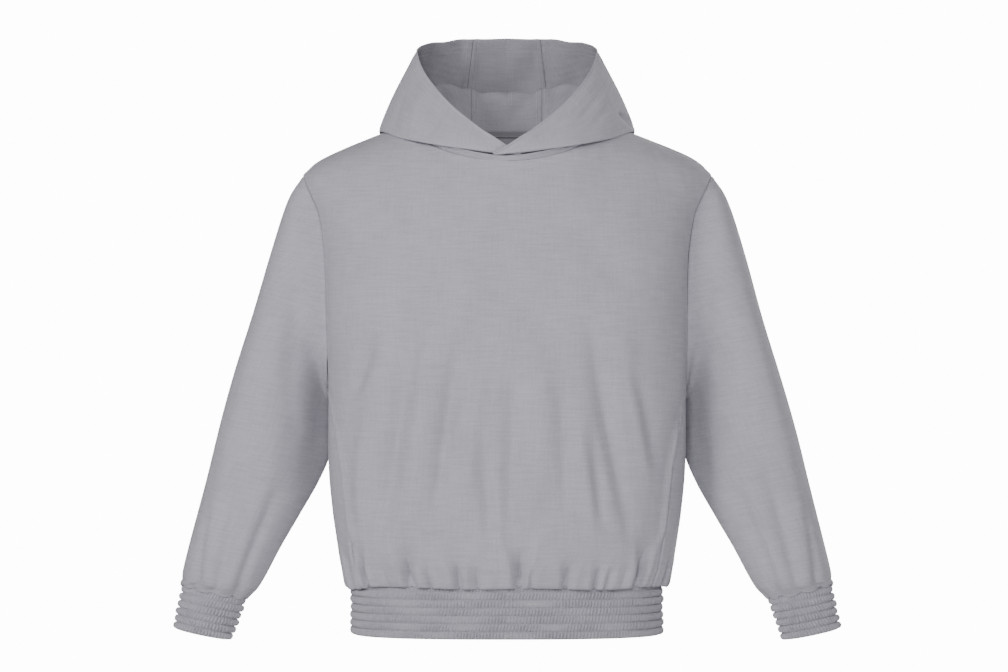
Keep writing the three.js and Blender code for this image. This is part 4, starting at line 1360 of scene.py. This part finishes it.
def hood_runs(points, normals, place, side, thickness):
    """Stitching beside the hood's long seams on both faces, inside the brim and at the neck."""
    outside = (points, normals)
    inside = (points - normals * thickness, -normals)
    across = lengths(points, 1)
    down = lengths(points, 0).T
    place = place[: len(points), 0]
    inner_rows = (np.flatnonzero(place < 1.3), np.flatnonzero(place > 3.5))
    outer_rows = (np.flatnonzero(place > 3),)
    ends = (False, True) if side is None else (True,)
    runs = []
    for from_last in ends:
        for distance in HOOD_SEAM_STITCHES:
            columns = places_at(across, distance, from_last)
            runs += [sample(inside, rows, columns[rows]) for rows in inner_rows]
            runs += [sample(outside, rows, columns[rows]) for rows in outer_rows]
    every = np.arange(points.shape[1])
    runs += [sample(inside, places_at(down, distance, True), every) for distance in BRIM_STITCHES]
    if side is not None:
        runs += [sample(outside, places_at(down, distance), every) for distance in NECK_STITCHES]
    else:
        rows = np.flatnonzero((place > 0.5) & (place < 0.92))
        runs += [sample(inside, rows, np.full(len(rows), column)) for column in TAB_COLUMNS]
    return runs


class HOODIE_OT_hood(bpy.types.Operator):
    """Makes the hood: two side panels and one centre panel"""

    bl_idname = "hoodie.hood"
    bl_label = "Hood"

    def execute(self, context):
        thickness = context.scene.hoodie_cloth.thickness / MM
        parts = (("hood_side_left", 1), ("hood_side_right", -1), ("hood_centre", None))
        for name, side in parts:
            points, normals, angle, place = build_hood(side)
            points, normals = even(points, normals, 2)
            mesh = wall_mesh(name + "_cloth", points, normals, thickness)
            piece = add_piece(name + "_cloth", mesh, [hood_fleece(), hood_inside()], node=name)
            runs = hood_runs(points, normals, place, side, thickness)
            add_stitching(name + "_stitches", runs)
        return {"FINISHED"}


def neck_tape_grid():
    """The outside of the tape that covers the neck seam behind."""
    first = NECK_COLUMNS + 2
    turned = np.linspace(first, 4 * NECK_COLUMNS - first, 81) * NECK_STEP
    down, angle = grid(np.linspace(0, 1, 9), turned)
    p = neck_point(np.minimum(angle, 360 - angle))
    p[..., 0] *= np.where(angle <= 180, 1, -1)
    inwards = unit(point(-p[..., 0], RIDGE_Y - p[..., 1], 0))
    p += inwards * (TAPE_INSET - 0.25 * np.abs(2 * down - 1)[..., None] ** 4)
    p[..., 2] += (0.6 - down) * TAPE_HEIGHT
    return p, inwards


class HOODIE_OT_neck_tape(bpy.types.Operator):
    """Makes the tape over the back neck seam"""

    bl_idname = "hoodie.neck_tape"
    bl_label = "Neck tape"

    def execute(self, context):
        points, inwards = neck_tape_grid()
        mesh = wall_mesh("neck_tape_strip", points, inwards, TAPE_CLOTH)
        tape = fleece_material("tape_face", context.scene.hoodie_cloth.tape, context.scene.hoodie_cloth)
        piece = add_piece("neck_tape_strip", mesh, [tape, tape], node="neck_tape")
        lines = [sample((points, inwards), np.full(161, row), np.linspace(0, 80, 161)) for row in (1, 7)]
        add_stitching("neck_tape_stitches", lines)
        return {"FINISHED"}


class HOODIE_OT_pockets(bpy.types.Operator):
    """Makes the pocket bags behind the front's side seams"""

    bl_idname = "hoodie.pockets"
    bl_label = "Pocket bags"

    def execute(self, context):
        thickness = context.scene.hoodie_cloth.thickness / MM
        points, normals, _ = build_panel(-1)
        heights = points[:, points.shape[1] // 2, 2]
        rows = np.flatnonzero((heights < BAG_TOP_Z) & (heights > BAG_FOOT_Z))
        rows = rows[: (len(rows) - 1) // 2 * 2 + 1]
        half = points.shape[1] // 2
        for name, side in (("left", 1), ("right", -1)):
            shares = BAG_SHARES if side > 0 else BAG_SHARES[::-1]
            ends = [int(round(half * (1 + side * (1 - share)))) for share in shares]
            columns = np.arange(min(ends), max(ends) + 1)
            columns = columns[: (len(columns) - 1) // 2 * 2 + 1]
            block = np.ix_(rows, columns)
            from_seam = np.abs(np.arange(len(columns)) - (len(columns) - 1 if side > 0 else 0))
            depth = thickness + mix(0.4, BAG_CLEARANCE, smooth(0, 12, from_seam))
            outer = points[block] - normals[block] * depth[None, :, None]
            mesh = wall_mesh(f"pocket_bag_{name}_cloth", outer, normals[block], BAG_CLOTH)
            node = f"pocket_bag_{name}"
            piece = add_piece(node + "_cloth", mesh, [pocketing(), pocketing()], node=node)
        return {"FINISHED"}


# The pocket bags take the darker inside colour, which is painted shade.
def pocketing():
    settings = bpy.context.scene.hoodie_cloth
    return fleece_material("pocketing_face", settings.inside, settings)


class HOODIE_OT_stage(bpy.types.Operator):
    """Makes the floor, the lights and the camera"""

    bl_idname = "hoodie.stage"
    bl_label = "Stage"

    def execute(self, context):
        settings = context.scene.hoodie_stage
        add_floor(settings)
        add_lights(settings)
        add_camera()
        return {"FINISHED"}


def add_floor(settings):
    corners = np.array([(-1, -1), (1, -1), (1, 1), (-1, 1)]) * FLOOR_HALF / MM
    vertices = np.column_stack([corners, np.full(4, FLOOR_Z / MM)])
    mesh = fill_mesh("floor", vertices, [np.array([[0, 1, 2, 3]])])
    material = bpy.data.materials.new("floor")
    material.use_nodes = True
    shader = material.node_tree.nodes["Principled BSDF"]
    shader.inputs["Base Color"].default_value = (*settings.floor, 1)
    shader.inputs["Roughness"].default_value = 0.9
    mesh.materials.append(material)
    floor = bpy.data.objects.new("floor", mesh)
    bpy.context.scene.collection.objects.link(floor)


def add_light(name, place, aim, size, power):
    data = bpy.data.lights.new(name, "AREA")
    data.shape = "RECTANGLE"
    data.size, data.size_y = size
    data.energy = power
    light = bpy.data.objects.new(name, data)
    light.location = place
    away = np.array(place, float) - np.array(aim, float)
    distance = np.linalg.norm(away)
    tilt = math.acos(away[2] / distance)
    light.rotation_euler = (tilt, 0, math.atan2(away[1], away[0]) + math.pi / 2)
    bpy.context.scene.collection.objects.link(light)


def add_lights(settings):
    middle = (0, 0, -0.3)
    add_light("key", (-2.1, -2.2, 0.75), middle, (1.0, 1.0), settings.key)
    add_light("front", (-0.3, -4.2, 0.9), middle, (1.2, 1.2), settings.front)
    add_light("fill", (2.8, -2.2, 0.4), middle, (1.6, 1.6), settings.fill)
    add_light("behind", (2.4, 2.8, 1.0), middle, (1.6, 1.6), settings.behind)
    world = bpy.data.worlds.new("studio")
    world.use_nodes = True
    tree = world.node_tree
    light = tree.nodes["Background"]
    light.inputs["Color"].default_value = (1, 1, 1, 1)
    light.inputs["Strength"].default_value = settings.surround
    seen = add_node(tree, "ShaderNodeBackground", Color=(1, 1, 1, 1), Strength=settings.backdrop)
    direct = add_node(tree, "ShaderNodeLightPath").outputs["Is Camera Ray"]
    either = add_node(tree, "ShaderNodeMixShader", i0=direct, i1=light.outputs[0], i2=seen.outputs[0])
    tree.links.new(either.outputs[0], tree.nodes["World Output"].inputs["Surface"])
    bpy.context.scene.world = world


def add_camera():
    data = bpy.data.cameras.new("camera")
    data.sensor_width = 36
    data.lens = CAMERA_LENS
    data.clip_end = 50
    camera = bpy.data.objects.new("camera", data)
    camera.location = CAMERA_PLACE
    camera.rotation_euler = (math.pi / 2, 0, 0)
    bpy.context.scene.collection.objects.link(camera)
    bpy.context.scene.camera = camera


# Settings, panel and registration


class HoodieCloth(bpy.types.PropertyGroup):
    """Thickness, colours and texture of the cloth"""

    thickness: FloatProperty(
        name="Thickness",
        description="Thickness of the fleece",
        default=0.0018,
        min=0.001,
        max=0.003,
        unit="LENGTH",
    )
    fleece: FloatVectorProperty(
        name="Fleece",
        description="Colour of the body, sleeves and bands",
        subtype="COLOR",
        default=(0.335, 0.326, 0.371),
        min=0,
        max=1,
    )
    hood: FloatVectorProperty(
        name="Hood",
        description="Colour of the hood",
        subtype="COLOR",
        default=(0.338, 0.33, 0.375),
        min=0,
        max=1,
    )
    # Set darker than the body's fleece: painted shade of the puckers and channels of the hem band and the
    # cuffs.
    shirred: FloatVectorProperty(
        name="Shirred",
        description="Colour of the hem band and the cuffs",
        subtype="COLOR",
        default=(0.32, 0.311, 0.355),
        min=0,
        max=1,
    )
    # Darker than the face of the cloth: mostly painted shade, for the hollow inside the hood and the
    # garment's inside faces.
    inside: FloatVectorProperty(
        name="Inside",
        description="Colour of the brushed back of the cloth",
        subtype="COLOR",
        default=(0.25, 0.241, 0.277),
        min=0,
        max=1,
    )
    tape: FloatVectorProperty(
        name="Tape",
        description="Colour of the neck tape",
        subtype="COLOR",
        default=(0.16, 0.155, 0.175),
        min=0,
        max=1,
    )
    thread_colour: FloatVectorProperty(
        name="Thread",
        description="Colour of the stitching",
        subtype="COLOR",
        default=(0.37, 0.362, 0.405),
        min=0,
        max=1,
    )
    heather: FloatProperty(
        name="Heather",
        description="How far single yarns are lighter or darker than the cloth",
        default=0.08,
        min=0,
        max=0.4,
        subtype="FACTOR",
    )
    streak: FloatProperty(
        name="Streak",
        description="How far single courses are lighter or darker than the cloth",
        default=0.05,
        min=0,
        max=0.4,
        subtype="FACTOR",
    )
    wale: FloatProperty(
        name="Wale",
        description="Distance between two wales of the knit",
        default=0.0012,
        min=0.0005,
        max=0.005,
        unit="LENGTH",
    )
    nap: FloatProperty(
        name="Nap",
        description="Depth of the knit and its nap",
        default=0.0003,
        min=0,
        max=0.002,
        unit="LENGTH",
    )


class HoodieBands(bpy.types.PropertyGroup):
    """Shirring of the hem band and the cuffs"""

    hem_channels: IntProperty(
        name="Hem channels", description="Puckered channels round the hem band", default=6, min=2, max=12
    )
    cuff_channels: IntProperty(
        name="Cuff channels", description="Puckered channels round each cuff", default=5, min=2, max=12
    )
    pucker: FloatProperty(
        name="Pucker",
        description="Height of a pucker between two channels' rows of elastic",
        default=0.0052,
        min=0,
        max=0.006,
        unit="LENGTH",
    )
    pucker_pitch: FloatProperty(
        name="Pucker pitch",
        description="Usual distance from one pucker to the next",
        default=0.0044,
        min=0.002,
        max=0.012,
        unit="LENGTH",
    )


class HoodieStitching(bpy.types.PropertyGroup):
    """Thread and stitch length"""

    stitch_spacing: FloatProperty(
        name="Stitch spacing",
        description="Distance from one stitch to the next",
        default=0.0032,
        min=0.0015,
        max=0.008,
        unit="LENGTH",
    )
    stitch_share: FloatProperty(
        name="Stitch share",
        description="Share of the spacing that the thread covers",
        default=0.78,
        min=0.3,
        max=1,
        subtype="FACTOR",
    )
    thread: FloatProperty(
        name="Thread",
        description="Thickness of the thread",
        default=0.0006,
        min=0.0002,
        max=0.002,
        unit="LENGTH",
    )


class HoodieStage(bpy.types.PropertyGroup):
    """Floor and studio light"""

    floor: FloatVectorProperty(
        name="Floor", description="Colour of the floor", subtype="COLOR", default=(0.85, 0.85, 0.85)
    )
    key: FloatProperty(name="Key", description="Power of the light from the left", default=52.0, min=0)
    front: FloatProperty(name="Front", description="Power of the light from the front", default=128.0, min=0)
    fill: FloatProperty(name="Fill", description="Power of the light from the right", default=20.0, min=0)
    behind: FloatProperty(name="Behind", description="Power of the light from behind", default=110.0, min=0)
    surround: FloatProperty(name="Surround", description="Light from all round", default=0.15, min=0)
    backdrop: FloatProperty(name="Backdrop", description="Brightness of what is behind", default=14.0, min=0)


OPERATORS = (
    HOODIE_OT_body,
    HOODIE_OT_pockets,
    HOODIE_OT_sleeves,
    HOODIE_OT_hem_band,
    HOODIE_OT_cuffs,
    HOODIE_OT_hood,
    HOODIE_OT_neck_tape,
    HOODIE_OT_stage,
)
SETTINGS = {
    "hoodie_cloth": HoodieCloth,
    "hoodie_bands": HoodieBands,
    "hoodie_stitching": HoodieStitching,
    "hoodie_stage": HoodieStage,
}


class HOODIE_PT_pieces(bpy.types.Panel):
    """Lists the settings and the steps that make the hoodie"""

    bl_idname = "HOODIE_PT_pieces"
    bl_label = "Pullover hoodie"
    bl_space_type = "VIEW_3D"
    bl_region_type = "UI"
    bl_category = "Hoodie"

    def draw(self, context):
        layout = self.layout
        for name, group in SETTINGS.items():
            box = layout.box()
            box.label(text=group.__doc__)
            for key in group.__annotations__:
                box.prop(getattr(context.scene, name), key)
        for operator in OPERATORS:
            layout.operator(operator.bl_idname)


def register():
    for cls in (*SETTINGS.values(), *OPERATORS, HOODIE_PT_pieces):
        bpy.utils.register_class(cls)
    for name, group in SETTINGS.items():
        setattr(bpy.types.Scene, name, PointerProperty(type=group))


def unregister():
    for name in SETTINGS:
        delattr(bpy.types.Scene, name)
    for cls in reversed((*SETTINGS.values(), *OPERATORS, HOODIE_PT_pieces)):
        bpy.utils.unregister_class(cls)


def main():
    register()
    bpy.ops.hoodie.stage()
    bpy.ops.hoodie.body()
    bpy.ops.hoodie.pockets()
    bpy.ops.hoodie.sleeves()
    bpy.ops.hoodie.hem_band()
    bpy.ops.hoodie.cuffs()
    bpy.ops.hoodie.hood()
    bpy.ops.hoodie.neck_tape()


if __name__ == "__main__":
    main()
